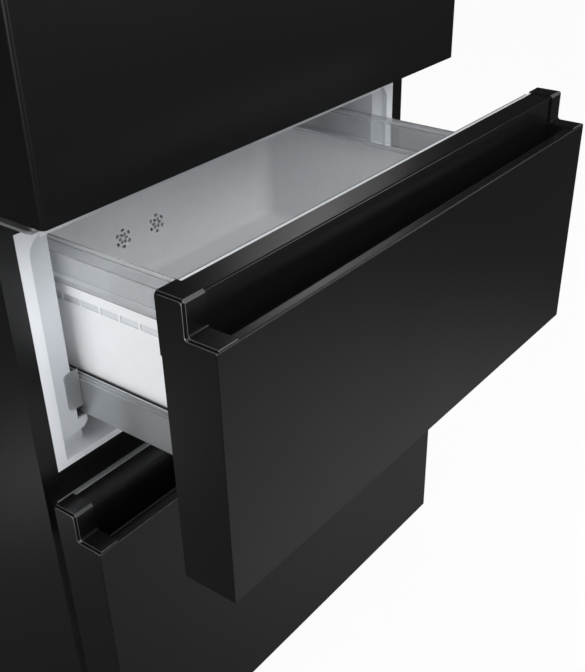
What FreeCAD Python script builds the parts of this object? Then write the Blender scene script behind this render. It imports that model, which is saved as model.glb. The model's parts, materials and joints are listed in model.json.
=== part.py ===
"""Bottom-freezer refrigerator: one swing door above two telescopic freezer drawers.

X runs to the viewer's right, Y from the door fronts into the cabinet and Z up from the floor,
in millimetres. The model is laid out with the closed fronts at y = 0 and the middle drawer is
written pulled out by drawer_open, as it rests. The origin is the bottom centre of that pose.
"""
import FreeCAD, Part

import math
import os

V = FreeCAD.Vector

# ---- cabinet ---------------------------------------------------------------------------
body_width = 700.0
body_depth = 598.0          # cabinet alone, front plane to the back
cabinet_top = 1885.0
base_height = 30.0          # underside of the cabinet above the floor
sheet = 1.0                 # painted steel sheet
liner_wall = 2.0            # vacuum-formed liner
crossbar_height = 44.0
crossbar_depth = 18.0
sill_cover = 18.0           # how far the bottom rail rises behind the lower front
top_flange = 30.0
side_flange = 23.0          # steel return at each side of the cabinet front
liner_flange = 14.0         # white flange beside the steel return
liner_sill = 8.0            # the same flange above and below an opening
ledge_depth = 6.0           # set-back of the moulded ledge behind the flange
ledge_radius = 22.0         # upper corners of the ledge
wall_inset = 65.0           # cabinet side to compartment wall
floor_inset = 12.0          # flange edge to compartment floor or ceiling
notch_height = 22.0         # set-back at the foot of each side of a freezer opening
notch_depth = 20.0
freezer_corner = 6.0        # corners of a freezer room
opening_radius = 30.0
back_insulation = 60.0
bead_height = 3.0
bead_width = 26.0

# ---- fronts ----------------------------------------------------------------------------
front_thickness = 66.0
front_gap = 12.0            # rear face of a front to the cabinet, filled by the gasket
low_front_bottom = 55.0
low_front_height = 431.0
drawer_gap = 8.0
mid_front_height = 310.0
door_gap = 19.0
door_top_gap = 3.0
edge_radius = 1.5
inner_panel = 2.5           # white inner panel of each front
panel_inset = 4.0
gasket_inset = 14.0
gasket_width = 16.0
gasket_strip = 14.0         # width of the gasket above and below
gasket_margin = 3.0
gasket_drop = 8.0           # its top edge below the top of the front
seat_gap = 0.3

# ---- drawer handles --------------------------------------------------------------------
step_depth = 36.0           # set-back of the upright behind the step
step_height = 36.0
lip_width = 12.0
trough_depth = 22.0
handle_wall = 2.5
cap_length = 28.0
cap_proud = 2.0
cap_depth = step_height + trough_depth + handle_wall
reveal = 1.2                # sheet edges stop this far inside the handle and its ends
corner_radius = 4.0

# ---- drawers ---------------------------------------------------------------------------
drawer_open = 194.0         # the middle drawer at rest
rail_end_gap = 4.0
rail_start = 8.0            # behind the cabinet front
rail_height = 91.5          # centre line above the bottom of the front
rail_sheet = 1.4
member_gap = 0.4
bracket_rise = 32.5         # the fixed rail's front bracket above the rail's centre line
bracket_fall = 13.5
bracket_reach = 10.0        # onto the ledge beside the opening
bracket_clear = 0.6         # to the moving drawer side
side_rim_width = 4.5        # top edge of the drawer side, with a slot between it and the basket
side_rim_depth = 8.0
side_half = 25.5
side_offset = 10.0          # outer face of the metal side from the compartment wall
side_width = 9.0
side_sheet = 1.0
rail_floor_drop = 3.5       # fixed rail's floor below the drawer side
inner_leg_rise = 10.0       # fixed rail's inner leg above the centre line
web_drop = 18.0             # middle member's web below the centre line
basket_shelf = 20.0         # flange that the basket stands on
basket_shelf_rise = 6.5
tab_width = 18.0            # screwed to the front
boss_reach = 13.0           # moulded hook and foot in a freezer liner, from its wall
hook_length = 44.0
hook_height = 13.0
foot_block_length = 16.0
foot_block_height = 20.0
basket_wall = 2.5
basket_clear = 1.0
basket_rear_gap = 23.0      # inner face of the rear wall to the evaporator cover
basket_front = 88.0
basket_radius = 24.0
vent_height_in_wall = 138.0  # middle of the two vents above the bottom of the front
vent_offset = 31.0
petal_width = 4.0
petal_rings = ((5.6, 6.2, 0, 0), (11.6, 6.8, 30, 90))  # radius, length, first angle, turn
mid_basket_top = 221.0
low_basket_top = 340.0
rim_height = 12.0
rim_width = 5.0
window_pitch = 28.5
window_width = 26.0
window_margin = 15.0
window_depth = 1.5
window_height = 12.0
collar_height = 37.0
collar_wall = 2.5
collar_rim = 21.0
dyke_depth = 20.0
dyke_inset = 105.0

# ---- fridge door -----------------------------------------------------------------------
hinge_x = 20.0              # pin from the cabinet side
hinge_y = 33.0
pin_radius = 4.0
pin_clear = 0.05
cap_thickness = 8.0
cap_boss = 12.0             # height of the pin socket inside the door
boss_radius = 9.0
door_edge_radius = 5.0
grip_width = 24.0
grip_depth = 22.0
rib_inset = 78.0
rib_width = 20.0
rib_depth = 30.0
bin_depth = 95.0
bin_height = 90.0
bin_wall = 2.5
bin_top_room = 173.0        # ceiling to the top of the upper bin
bin_pitch = 250.0

# ---- fridge compartment ----------------------------------------------------------------
crisper_height = 195.0
crisper_front = 200.0
crisper_rear_gap = 56.0
crisper_wall = 2.5
shelf_top_room = 253.0      # ceiling to the upper shelf
shelf_pitch = 260.0
shelf_front = 200.0
glass_thickness = 4.0
nosing_height = 16.0
nosing_depth = 12.0
bracket_width = 10.0
duct_depth = 22.0
duct_width = 280.0

# ---- cooling machine -------------------------------------------------------------------
machine_depth = 150.0
machine_top = 215.0
step_insulation = 40.0
compressor_radius = 62.0
compressor_height = 150.0
condenser_fan_radius = 62.0
evaporator_fan_radius = 44.0
shaft_radius = 3.0
evaporator_room = 136.0     # rear wall to the front of the evaporator cover
cover_wall = 4.0
evaporator_gap = 42.0       # behind the front of its cover
evaporator_depth = 58.0
evaporator_height = 132.0
evaporator_lift = 12.0
evaporator_inset = 45.0
condenser_inset = 60.0
condenser_length = 210.0
condenser_depth = 80.0
condenser_height = 120.0
condenser_lift = 20.0
compressor_plate = 180.0

plate_overhang = 2.0        # end plates of a coil beyond its fins
tube_radius = 5.0
tube_reach = 12.0
terminal_box = (48.0, 26.0)
stub_reach = 26.0
fan_bracket = 26.0          # condenser fan to its post
fan_lift = 20.0
vent_pitch = 40.0
vent_width = 14.0
vent_margin = 30.0
vent_height = 50.0
outlet_pitch = 22.0         # slots beside the evaporator fan
outlet_width = 12.0
outlet_height = 56.0
outlet_offset = 60.0
return_pitch = 50.0         # slots under the evaporator
return_width = 36.0
return_height = 16.0
return_lift = 18.0

# ---- control panel ---------------------------------------------------------------------
console_width = 300.0
console_front = 110.0
console_back = 280.0
console_depth = 24.0        # below the ceiling
key_size = 18.0
key_pitch = 30.0
key_sink = 1.0
lamp_size = (110.0, 90.0)
lamp_sink = 1.5

# ---- hinges ----------------------------------------------------------------------------
plate_thickness = 3.0
hinge_foot = 8.0            # lower plate above the middle front
hinge_start = 4.0           # plate from the cabinet side
hinge_end = 74.0
leg_start = 26.0
washer_radius = 9.0
pin_reach = 14.0            # pin inside a door cap
top_plate_width = 100.0
top_plate_length = 90.0
hinge_cover_height = 20.0
hinge_cover_wall = 3.0

# ---- feet and rollers ------------------------------------------------------------------
foot_radius = 18.0
foot_height = 8.0
screw_radius = 5.0
nut_radius = 11.0
foot_inset = 45.0
foot_setback = 42.0
roller_radius = 14.0
roller_width = 18.0
axle_radius = 4.0
boss_drop = 12.0            # foot boss below the pan
boss_wall = 7.0
ear_thickness = 3.0
ear_gap = 1.5
ear_half = 12.0
roller_setback = 80.0
grille_bottom = 12.0
grille_sheet = 3.0
grille_pitch = 30.0
grille_slot = 18.0
grille_margin = 8.0
arm_width = 8.0

# ---- places that follow from the sizes -------------------------------------------------
half = body_width / 2
cabinet_front = front_thickness + front_gap
cabinet_back = cabinet_front + body_depth
case_back = cabinet_back - bead_height - sheet
liner_back = cabinet_back - back_insulation
low_front_top = low_front_bottom + low_front_height
mid_front_bottom = low_front_top + drawer_gap
mid_front_top = mid_front_bottom + mid_front_height
door_bottom = mid_front_top + door_gap
door_top = cabinet_top - door_top_gap
low_bar_middle = low_front_top + drawer_gap / 2
mid_bar_middle = mid_front_top + door_gap / 2
low_zone = (low_front_bottom + sill_cover, low_bar_middle - crossbar_height / 2)
mid_zone = (low_bar_middle + crossbar_height / 2, mid_bar_middle - crossbar_height / 2)
top_zone = (mid_bar_middle + crossbar_height / 2, cabinet_top - top_flange)
flange_half = half - side_flange
room_half = half - wall_inset
room_front = cabinet_front + ledge_depth
fridge_floor = top_zone[0] + floor_inset
fridge_ceiling = top_zone[1] - floor_inset
machine_front = case_back - machine_depth
cover_front = liner_back - evaporator_room
low_back = machine_front - step_insulation
basket_back = cover_front - basket_rear_gap
rail_y = cabinet_front + rail_start
rail_length = cover_front - rail_y - rail_end_gap
shelf_back = liner_back - duct_depth - seat_gap
crisper_back = liner_back - crisper_rear_gap
shelf_levels = [fridge_ceiling - shelf_top_room - shelf_pitch * i for i in (1, 0)]
bin_levels = [fridge_ceiling - bin_top_room - bin_height - bin_pitch * i for i in (2, 1, 0)]
crisper_top = fridge_floor + seat_gap + crisper_height
hinge_pin_x = -half + hinge_x
origin_y = (cabinet_back - drawer_open) / 2


# ---- helpers ---------------------------------------------------------------------------
def block(x0, x1, y0, y1, z0, z1):
    return Part.makeBox(x1 - x0, y1 - y0, z1 - z0, V(x0, y0, z0))


def rod(radius, start, end):
    line = end - start
    return Part.makeCylinder(radius, line.Length, start, line)


def edges_along(shape, axis, test=None):
    """Straight edges parallel to axis whose middle passes the test."""
    found = []
    for edge in shape.Edges:
        if len(edge.Vertexes) != 2:
            continue
        line = edge.Vertexes[1].Point - edge.Vertexes[0].Point
        middle = (edge.Vertexes[1].Point + edge.Vertexes[0].Point) * 0.5
        if abs(line.dot(axis)) > 0.999 * line.Length and (test is None or test(middle)):
            found.append(edge)
    return found


def soft_block(x0, x1, y0, y1, z0, z1, radius, axis):
    """Box with its four edges along axis rounded."""
    solid = block(x0, x1, y0, y1, z0, z1)
    return solid.makeFillet(radius, edges_along(solid, axis)) if radius > 0 else solid


def outline(corners):
    """Closed wire through (a, b, radius) corners in the plane Z = 0; radius 0 stays sharp."""
    count = len(corners)
    pieces = []
    previous = None
    for i in range(count + 1):
        a, b, radius = corners[i % count]
        here = V(a, b, 0)
        before = (V(*corners[(i - 1) % count][:2], 0) - here).normalize()
        after = (V(*corners[(i + 1) % count][:2], 0) - here).normalize()
        turn = before.getAngle(after)
        cut = radius / math.tan(turn / 2) if radius else 0
        enter, leave = here + before * cut, here + after * cut
        if previous is not None and (enter - previous).Length > 1e-6:
            pieces.append(Part.LineSegment(previous, enter).toShape())
        if radius and i < count:
            bisector = (before + after).normalize()
            centre = here + bisector * (radius / math.sin(turn / 2))
            pieces.append(Part.Arc(enter, centre - bisector * radius, leave).toShape())
        previous = leave
    return Part.Wire(Part.__sortEdges__(pieces))


def profile_along_x(corners, x0, x1):
    """(y, z, radius) outline drawn out along X."""
    face = Part.Face(outline(corners))
    face.Placement = FreeCAD.Placement(V(x0, 0, 0), FreeCAD.Rotation(V(1, 1, 1), 120))
    return face.extrude(V(x1 - x0, 0, 0))


def profile_along_y(corners, y0, y1):
    """(x, z, radius) outline drawn out along Y."""
    face = Part.Face(outline(corners))
    face.Placement = FreeCAD.Placement(V(0, y0, 0), FreeCAD.Rotation(V(1, 0, 0), 90))
    return face.extrude(V(0, y1 - y0, 0))


def profile_along_z(corners, z0, z1):
    """(x, y, radius) outline drawn out along Z."""
    face = Part.Face(outline(corners))
    face.translate(V(0, 0, z0))
    return face.extrude(V(0, 0, z1 - z0))


def mirrored(shape):
    return shape.mirror(V(0, 0, 0), V(1, 0, 0))


def pair(shape):
    return Part.makeCompound([shape, mirrored(shape)])


def joined(shapes):
    return shapes[0].fuse(shapes[1:]).removeSplitter()


def slots(count, pitch, x_middle, y0, y1, z0, z1, width):
    """Upright slots side by side along X, as cutters."""
    start = x_middle - pitch * (count - 1) / 2
    return [block(start + pitch * i - width / 2, start + pitch * i + width / 2, y0, y1, z0, z1)
            for i in range(count)]


parts = {}


def put(name, shape):
    parts[name] = shape


# ---- cabinet ---------------------------------------------------------------------------
def outer_case():
    shell = block(-half, half, cabinet_front, case_back, base_height, cabinet_top)
    shell = shell.makeFillet(edge_radius, edges_along(shell, V(0, 1, 0), lambda p: p.z > base_height))
    inside = block(-half + sheet, half - sheet, cabinet_front + sheet, case_back + 1,
                   base_height - 1, cabinet_top - sheet)
    mouth = block(-flange_half, flange_half, cabinet_front - 1, cabinet_front + sheet + 1,
                  base_height - 1, cabinet_top - top_flange)
    return shell.cut(inside).cut(mouth)


def rear_panel():
    """Back sheet with pressed stiffening beads."""
    pitch = body_width / 3
    panel = block(-half, half, case_back, case_back + sheet, machine_top, cabinet_top)
    beads = [soft_block(pitch * side - bead_width / 2, pitch * side + bead_width / 2,
                        case_back + sheet / 2, cabinet_back,
                        machine_top + bead_width * 2, cabinet_top - bead_width * 2,
                        bead_width / 2 - 0.5, V(0, 1, 0)) for side in (-1, 0, 1)]
    return joined([panel] + beads)


def room_block(zone, y0, y1, grow, freezer):
    """The room of a compartment; a freezer's floor is level with its sill and has tighter corners."""
    low = zone[0] + (liner_sill if freezer else floor_inset) - grow
    high = zone[1] - floor_inset + grow
    reach = room_half + grow
    radius = (freezer_corner if freezer else opening_radius) + grow
    return profile_along_y([(-reach, low, radius), (reach, low, radius), (reach, high, radius),
                            (-reach, high, radius)], y0, y1)


def tub(zone, back, grow, freezer):
    """Spaces a liner takes, the room last: grow 0 is the inside, grow liner_wall the outside."""
    low, high = zone
    sill = low + liner_sill
    reach = flange_half - liner_flange + grow
    head, radius = high - liner_sill + grow, ledge_radius + grow
    spaces = [profile_along_y([(-reach, sill - grow, 0), (reach, sill - grow, 0), (reach, head, radius),
                               (-reach, head, radius)], cabinet_front, room_front + grow)]
    if freezer:
        spaces.append(block(-reach, reach, cabinet_front, cabinet_front + notch_depth + grow,
                            sill - grow, sill + notch_height + grow))
    if grow:
        spaces.append(block(-flange_half, flange_half, cabinet_front, cabinet_front + liner_wall, low, high))
    return spaces + [room_block(zone, room_front - 1, back + grow, grow, freezer)]


def liner(zone, back, freezer):
    solid = joined(tub(zone, back, liner_wall, freezer))
    for space in tub(zone, back, 0, freezer):
        solid = solid.cut(space)
    return solid


def fridge_liner():
    """Upper tub with moulded ledges that carry the glass shelves."""
    ledges = []
    for level in shelf_levels + [crisper_top + seat_gap]:
        ledge = block(-room_half - liner_wall / 2, -room_half + bracket_width, shelf_front + nosing_depth,
                      shelf_back, level - nosing_height / 2, level)
        ledges += [ledge, mirrored(ledge)]
    return joined([liner(top_zone, liner_back, False)] + ledges)


def freezer_liner(zone, back, front_bottom):
    """Tub with the moulded hook and foot under each drawer rail."""
    rail_bottom = front_bottom + rail_height - side_half - rail_floor_drop
    wall, reach = -room_half - liner_wall / 2, -room_half + boss_reach
    hook_low = rail_bottom - hook_height
    hook = profile_along_y([(wall, hook_low, 0), (reach - hook_height / 2, hook_low, 4),
                            (reach, hook_low + hook_height / 2, 3), (reach, rail_bottom, 0),
                            (wall, rail_bottom, 0)], room_front, room_front + hook_length)
    floor, start = zone[0] + liner_sill, cabinet_front + notch_depth
    foot = soft_block(wall, reach, start, start + foot_block_length, floor - liner_wall / 2,
                      floor + foot_block_height, 5.0, V(0, 1, 0))
    bosses = joined([hook, mirrored(hook), foot, mirrored(foot)]).common(
        room_block(zone, room_front, back, liner_wall, True))
    return joined([liner(zone, back, True), bosses])


def insulation_foam():
    body = block(-half + sheet, half - sheet, cabinet_front + sheet, case_back,
                 base_height + 2 * sheet, cabinet_top - sheet)
    spaces = tub(low_zone, low_back, liner_wall, True) + tub(mid_zone, liner_back, liner_wall, True)
    spaces += tub(top_zone, liner_back, liner_wall, False)
    spaces.append(block(-half, half, machine_front, cabinet_back, 0, machine_top))
    for low, high in bar_spans():
        spaces.append(block(-flange_half, flange_half, 0, cabinet_front + crossbar_depth, low, high))
    spaces.append(block(-flange_half, flange_half, 0, cabinet_front + crossbar_depth,
                        0, low_zone[0]))
    return body.cut(joined(spaces))


def bar_spans():
    return ((low_zone[1], mid_zone[0]), (mid_zone[1], top_zone[0]))


def crossbar(low, high):
    """Folded steel channel across the cabinet front, open to the back."""
    bar = block(-flange_half, flange_half, cabinet_front, cabinet_front + crossbar_depth, low, high)
    hollow = block(-flange_half - 1, flange_half + 1, cabinet_front + 1.5 * sheet,
                   cabinet_front + crossbar_depth + 1, low + 1.5 * sheet, high - 1.5 * sheet)
    return bar.cut(hollow)


def base_pan():
    """Floor of the cabinet with the front rail, foot bosses, roller ears and fan bracket."""
    floor = block(-half + sheet, half - sheet, cabinet_front + sheet, case_back,
                  base_height, base_height + 2 * sheet)
    rail = block(-flange_half, flange_half, cabinet_front, cabinet_front + crossbar_depth,
                 base_height, low_zone[0])
    hollow = block(-flange_half - 1, flange_half + 1, cabinet_front + 1.5 * sheet,
                   cabinet_front + crossbar_depth + 1, base_height + 2 * sheet, low_zone[0] - 1.5 * sheet)
    pieces = [floor, rail.cut(hollow)]
    holes = []
    for side in (-1, 1):
        foot = foot_place(side)
        pieces.append(rod(screw_radius + boss_wall, foot + V(0, 0, base_height - boss_drop),
                          foot + V(0, 0, base_height + sheet)))
        holes.append(rod(screw_radius + pin_clear, foot, foot + V(0, 0, 2 * base_height)))
        axle = roller_place(side)
        for ear in (-1, 1):
            inner = axle.x + ear * (roller_width / 2 + ear_gap)
            outer = inner + ear * ear_thickness
            pieces.append(block(min(inner, outer), max(inner, outer), axle.y - ear_half, axle.y + ear_half,
                                axle.z - 1.5 * axle_radius, base_height + sheet))
        reach = V(roller_width, 0, 0)
        holes.append(rod(axle_radius + pin_clear, axle - reach, axle + reach))
    fan = condenser_fan_place()
    post = fan - V(fan_bracket, 0, 0)
    pieces.append(block(post.x - 3, post.x + 3, post.y - 10, post.y + 10, base_height + sheet, post.z))
    pieces.append(rod(4 * shaft_radius, post - V(3, 0, 0), post + V(5, 0, 0)))
    holes.append(rod(shaft_radius + pin_clear, post - V(9, 0, 0), post + V(9, 0, 0)))
    solid = joined(pieces)
    for hole in holes:
        solid = solid.cut(hole)
    return solid


def kick_grille():
    """Slotted plinth below the lower drawer, on two arms from the base rail."""
    front = front_thickness / 2
    low, high = grille_bottom, low_front_bottom - drawer_gap
    plate = block(-half + panel_inset, half - panel_inset, front, front + grille_sheet, low, high)
    reach = flange_half - 2.5 * arm_width
    arms = [block(x - arm_width / 2, x + arm_width / 2, front + grille_sheet / 2, cabinet_front,
                  base_height + 2 * sheet, high - 2 * sheet) for x in (-reach, reach)]
    cuts = slots(18, grille_pitch, 0, front - 1, front + grille_sheet + 1, low + grille_margin,
                 high - grille_margin, grille_slot)
    return joined([plate] + arms).cut(Part.makeCompound(cuts))


def foot_place(side):
    return V(side * (half - foot_inset), cabinet_front + foot_setback, 0)


def roller_place(side):
    return V(side * (half - foot_inset), case_back - roller_setback, roller_radius)


def foot(side):
    place = foot_place(side)
    pad = rod(foot_radius, place, place + V(0, 0, foot_height))
    turns = [math.radians(60 * i) for i in range(6)]
    hexagon = [(place.x + nut_radius * math.cos(t), place.y + nut_radius * math.sin(t), 0) for t in turns]
    nut = profile_along_z(hexagon, foot_height - 1, base_height - boss_drop - seat_gap)
    screw = rod(screw_radius, place + V(0, 0, foot_height), place + V(0, 0, base_height + sheet))
    return joined([pad, nut, screw])


def roller(side):
    place = roller_place(side)
    wheel = rod(roller_radius, place - V(roller_width / 2, 0, 0), place + V(roller_width / 2, 0, 0))
    reach = V(roller_width / 2 + 2 * ear_thickness, 0, 0)
    return joined([wheel, rod(axle_radius, place - reach, place + reach)])


# ---- cooling machine -------------------------------------------------------------------
def machine_cover():
    """Slotted sheet over the machine room."""
    cover = block(-half, half, case_back, case_back + sheet, base_height, machine_top)
    cuts = []
    for low in (base_height + vent_margin, machine_top - vent_margin - vent_height):
        cuts += slots(14, vent_pitch, 0, case_back - 1, case_back + sheet + 1, low, low + vent_height,
                      vent_width)
    return cover.cut(Part.makeCompound(cuts))


def compressor():
    """Hermetic pot turned from its section, on a foot plate, with the terminal box and stubs."""
    x, y = half / 2, (machine_front + case_back) / 2
    base = base_height + 2 * sheet
    plate = soft_block(x - compressor_plate / 2, x + compressor_plate / 2, y - 55, y + 55,
                       base, base + 4, 12.0, V(0, 0, 1))
    r, h = compressor_radius, compressor_height
    section = outline([(0, 0, 0), (r * 0.72, 0, 0), (r, h * 0.14, 0), (r, h * 0.74, 0),
                       (r * 0.82, h * 0.92, 0), (r * 0.5, h, 0), (0, h, 0)])
    pot = Part.Face(section).revolve(V(0, 0, 0), V(0, 1, 0), 360)
    pot.Placement = FreeCAD.Placement(V(x, y, base + 3), FreeCAD.Rotation(V(1, 0, 0), 90))
    width, reach = terminal_box
    box = block(x - r - reach, x - r + 8, y - width / 2, y + width / 2, base + h * 0.3, base + h * 0.66)
    stub = rod(axle_radius, V(x + r - 8, y, base + h * 0.4), V(x + r + stub_reach, y, base + h * 0.4))
    return joined([plate, pot, box, stub])


def finned_coil(x0, x1, y0, y1, z0, z1, grooves, rows, foot_y=None, foot_z=None):
    """Fin pack with its tube ends; the two end plates reach the wall or floor that holds them."""
    pieces = [block(x0, x1, y0, y1, z0, z1)]
    for x in (x0 - plate_overhang, x1):
        pieces.append(block(x, x + plate_overhang, y0, foot_y or y1, foot_z or z0, z1))
    for row in range(rows):
        z = z0 + (z1 - z0) * (row + 0.5) / rows
        for start, end in ((x0 - tube_reach, x0 - 1), (x1 + 1, x1 + tube_reach)):
            pieces.append(rod(tube_radius, V(start, (y0 + y1) / 2, z), V(end, (y0 + y1) / 2, z)))
    pitch = (x1 - x0) / (grooves + 1)
    cuts = [block(x0 + pitch * (i + 1) - 4, x0 + pitch * (i + 1) + 4, y0 - 1, y0 + 12, z0 + 4, z1 - 4)
            for i in range(grooves)]
    return joined(pieces).cut(Part.makeCompound(cuts))


def condenser_fan_place():
    return V(-10, (machine_front + case_back) / 2, base_height + condenser_fan_radius + fan_lift)


def fan(radius, depth, blades, shaft):
    """Hub, shaft and pitched blades about X, with the shaft towards -X."""
    hub = rod(radius * 0.3, V(0, 0, 0), V(depth, 0, 0))
    spindle = rod(shaft_radius, V(-shaft, 0, 0), V(1, 0, 0))
    root, tip, pitch, thick = radius * 0.2, radius * 0.28, 35, 1.2
    blade = profile_along_x([(-root, radius * 0.25, 0), (root, radius * 0.25, 0),
                             (tip, radius * 0.8, 0), (tip * 0.6, radius * 0.96, 0),
                             (-tip * 0.8, radius * 0.96, 0)], -thick / 2, thick / 2)
    blade.rotate(V(0, 0, 0), V(0, 0, 1), pitch)
    blade.translate(V(depth / 2, 0, 0))
    blades_all = []
    for i in range(blades):
        turned = blade.copy()
        turned.rotate(V(0, 0, 0), V(1, 0, 0), 360 * i / blades)
        blades_all.append(turned)
    return joined([hub, spindle] + blades_all)


def condenser_fan():
    solid = fan(condenser_fan_radius, 20.0, 5, fan_bracket + 2)
    solid.translate(condenser_fan_place())
    return solid


def evaporator_fan_place():
    return V(0, cover_front + cover_wall + 12, mid_zone[1] - floor_inset - evaporator_fan_radius - 8)


def evaporator_fan():
    solid = fan(evaporator_fan_radius, 14.0, 5, 9.0)
    solid.rotate(V(0, 0, 0), V(0, 0, 1), 90)
    solid.translate(evaporator_fan_place())
    return solid


def evaporator_cover():
    """Moulded wall in front of the evaporator: fan outlet above, return slots below."""
    low, high = mid_zone[0] + floor_inset, mid_zone[1] - floor_inset
    back = cover_front + cover_wall
    wall = room_block(mid_zone, cover_front, back, 0, True)
    centre = evaporator_fan_place()
    boss = rod(9, V(centre.x, cover_front + 1, centre.z), V(centre.x, centre.y - 3, centre.z))
    rims = [block(side - 4, side + 4, back - 1, liner_back, low + 20, high - 60)
            for side in (-room_half + 14, room_half - 14)]
    bore = rod(shaft_radius + pin_clear, V(centre.x, cover_front + 2, centre.z), centre)
    cuts = slots(9, return_pitch, 0, cover_front - 1, back + 1, low + return_lift,
                 low + return_lift + return_height, return_width)
    for middle in (-outlet_offset, outlet_offset):
        cuts += slots(4, outlet_pitch, middle, cover_front - 1, back + 1, centre.z - outlet_height / 2,
                      centre.z + outlet_height / 2, outlet_width)
    return joined([wall, boss] + rims).cut(bore).cut(Part.makeCompound(cuts))


def evaporator():
    low = mid_zone[0] + liner_sill + evaporator_lift
    front = cover_front + evaporator_gap
    reach = room_half - evaporator_inset
    return finned_coil(-reach, reach, front, front + evaporator_depth,
                       low, low + evaporator_height, 12, 3, foot_y=liner_back)


def condenser_coil():
    base = base_height + 2 * sheet
    middle = (machine_front + case_back) / 2
    start, low = -half + condenser_inset, base + condenser_lift
    return finned_coil(start, start + condenser_length, middle - condenser_depth / 2,
                       middle + condenser_depth / 2, low, low + condenser_height, 7, 3, foot_z=base)


# ---- fridge compartment ----------------------------------------------------------------
def shelf(level):
    """Toughened glass with its front nosing and rear stop in one frame."""
    reach = room_half - seat_gap
    glass = block(-reach, reach, shelf_front, shelf_back, level, level + glass_thickness)
    nosing = block(-reach, reach, shelf_front, shelf_front + nosing_depth,
                   level - nosing_height / 2, level + nosing_height / 2)
    stop = block(-reach, reach, shelf_back - nosing_depth, shelf_back, level, level + nosing_height / 2)
    return joined([glass, nosing, stop])


def crisper(side):
    """Clear drawer on the compartment floor, with a finger lip along its front."""
    clear = 2.0
    x0, x1 = clear, room_half - bracket_width - clear
    low = fridge_floor + seat_gap
    high = crisper_top - nosing_height - clear
    corner = opening_radius - (bracket_width + clear) / 2
    w = crisper_wall
    tray = profile_along_y([(x0, low, 8), (x1, low, corner), (x1, high, 0), (x0, high, 0)],
                           crisper_front, crisper_back)
    inside = profile_along_y([(x0 + w, low + w, 8 - w), (x1 - w, low + w, corner - w),
                              (x1 - w, high + 1, 0), (x0 + w, high + 1, 0)],
                             crisper_front + w, crisper_back - w)
    lip = block(x0 + 30, x1 - 30, crisper_front - 8, crisper_front + 1, high - 14, high - 10)
    solid = joined([tray.cut(inside), lip])
    return solid if side > 0 else mirrored(solid)


def air_duct_cover():
    front = liner_back - duct_depth
    low, high = crisper_top + 40, fridge_ceiling - 30
    cover = soft_block(-duct_width / 2, duct_width / 2, front, liner_back, low, high, 16.0, V(0, 1, 0))
    hollow = block(-duct_width / 2 + 6, duct_width / 2 - 6, front + 3, liner_back + 1, low + 20, high - 20)
    cuts = []
    for level in (0.2, 0.5, 0.8):
        z = low + (high - low) * level
        cuts += slots(6, 36.0, 0, front - 1, front + 4, z - 7, z + 7, 26.0)
    return cover.cut(hollow).cut(Part.makeCompound(cuts))


def control_panel():
    """Ceiling console with a sunk key field and the lamp window."""
    top, low = fridge_ceiling, fridge_ceiling - console_depth
    console = profile_along_x([(console_front, top, 0), (console_front, top - 14, 4),
                               (console_front + 20, low, 6), (console_back - 30, low, 8),
                               (console_back, top, 0)], -console_width / 2, console_width / 2)
    keys_front = console_front + 26
    keys = [block(-key_pitch * i - key_size / 2, -key_pitch * i + key_size / 2, keys_front,
                  keys_front + key_size, low - 1, low + key_sink) for i in (1, 2, 3)]
    lamp = block(key_pitch / 3, key_pitch / 3 + lamp_size[0], console_front + 30,
                 console_front + 30 + lamp_size[1], low - 1, low + lamp_sink)
    return console.cut(Part.makeCompound(keys + [lamp]))


# ---- hinges ----------------------------------------------------------------------------
def middle_hinge():
    """Plate rounded about the pin that carries the door, with its upright leg on the upper crossbar."""
    low = mid_front_top + hinge_foot
    high = low + plate_thickness
    leg_front = cabinet_front - plate_thickness
    left, right = -half + leg_start, -half + hinge_end
    edge, around = -half + hinge_start, hinge_x - hinge_start
    plate = profile_along_z([(edge, hinge_y - around, around), (right, hinge_y - around, around),
                             (right, leg_front, 0), (edge, leg_front, 0)], low, high)
    leg = block(left, right, leg_front, cabinet_front, mid_front_top + 1, door_bottom + plate_thickness)
    corner = block(left, right, cabinet_front - hinge_foot, cabinet_front - 2, low, high)
    foot = V(hinge_pin_x, hinge_y, low)
    pin = rod(pin_radius, foot, V(hinge_pin_x, hinge_y, door_bottom + pin_reach))
    washer = rod(washer_radius, foot, V(hinge_pin_x, hinge_y, door_bottom - seat_gap))
    return joined([plate, leg, corner, pin, washer])


def top_hinge():
    """Cranked plate on the cabinet top with the upper pin."""
    front, back = hinge_y - 16, cabinet_front + top_plate_length
    left, right = -half + 6, -half + top_plate_width
    plate = profile_along_z([(left, front, 14), (-half + 44, front, 14), (-half + 60, cabinet_front + 10, 10),
                             (right, cabinet_front + 24, 8), (right, back, 8), (left, back, 8)],
                            cabinet_top, cabinet_top + plate_thickness)
    pin = rod(pin_radius, V(hinge_pin_x, hinge_y, door_top - pin_reach),
              V(hinge_pin_x, hinge_y, cabinet_top + 2))
    return joined([plate, pin])


def top_hinge_cover():
    low, high = cabinet_top, cabinet_top + hinge_cover_height
    x0, x1 = -half + 2, -half + top_plate_width + 6
    y0, y1 = hinge_y - 20, cabinet_front + top_plate_length + 6
    wall = hinge_cover_wall
    shell = soft_block(x0, x1, y0, y1, low, high, 8.0, V(0, 0, 1))
    shell = shell.makeChamfer(wall, [e for e in shell.Edges if e.CenterOfMass.z > high - 0.01])
    return shell.cut(block(x0 + wall, x1 - wall, y0 + wall, y1 - wall, low - 1, high - wall))


# ---- fronts ----------------------------------------------------------------------------
def step_outline(top, low, front, back, drop):
    """Side view of the top of a drawer front, its edges drop inside those of the caps."""
    wall, step = step_depth - cap_proud + drop, top - step_height + cap_proud / 2 - drop
    return [(front, low, 0), (back, low, 0), (back, top - drop, 2), (wall, top - drop, 3),
            (wall, step, corner_radius), (front, step, 0)]


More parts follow.
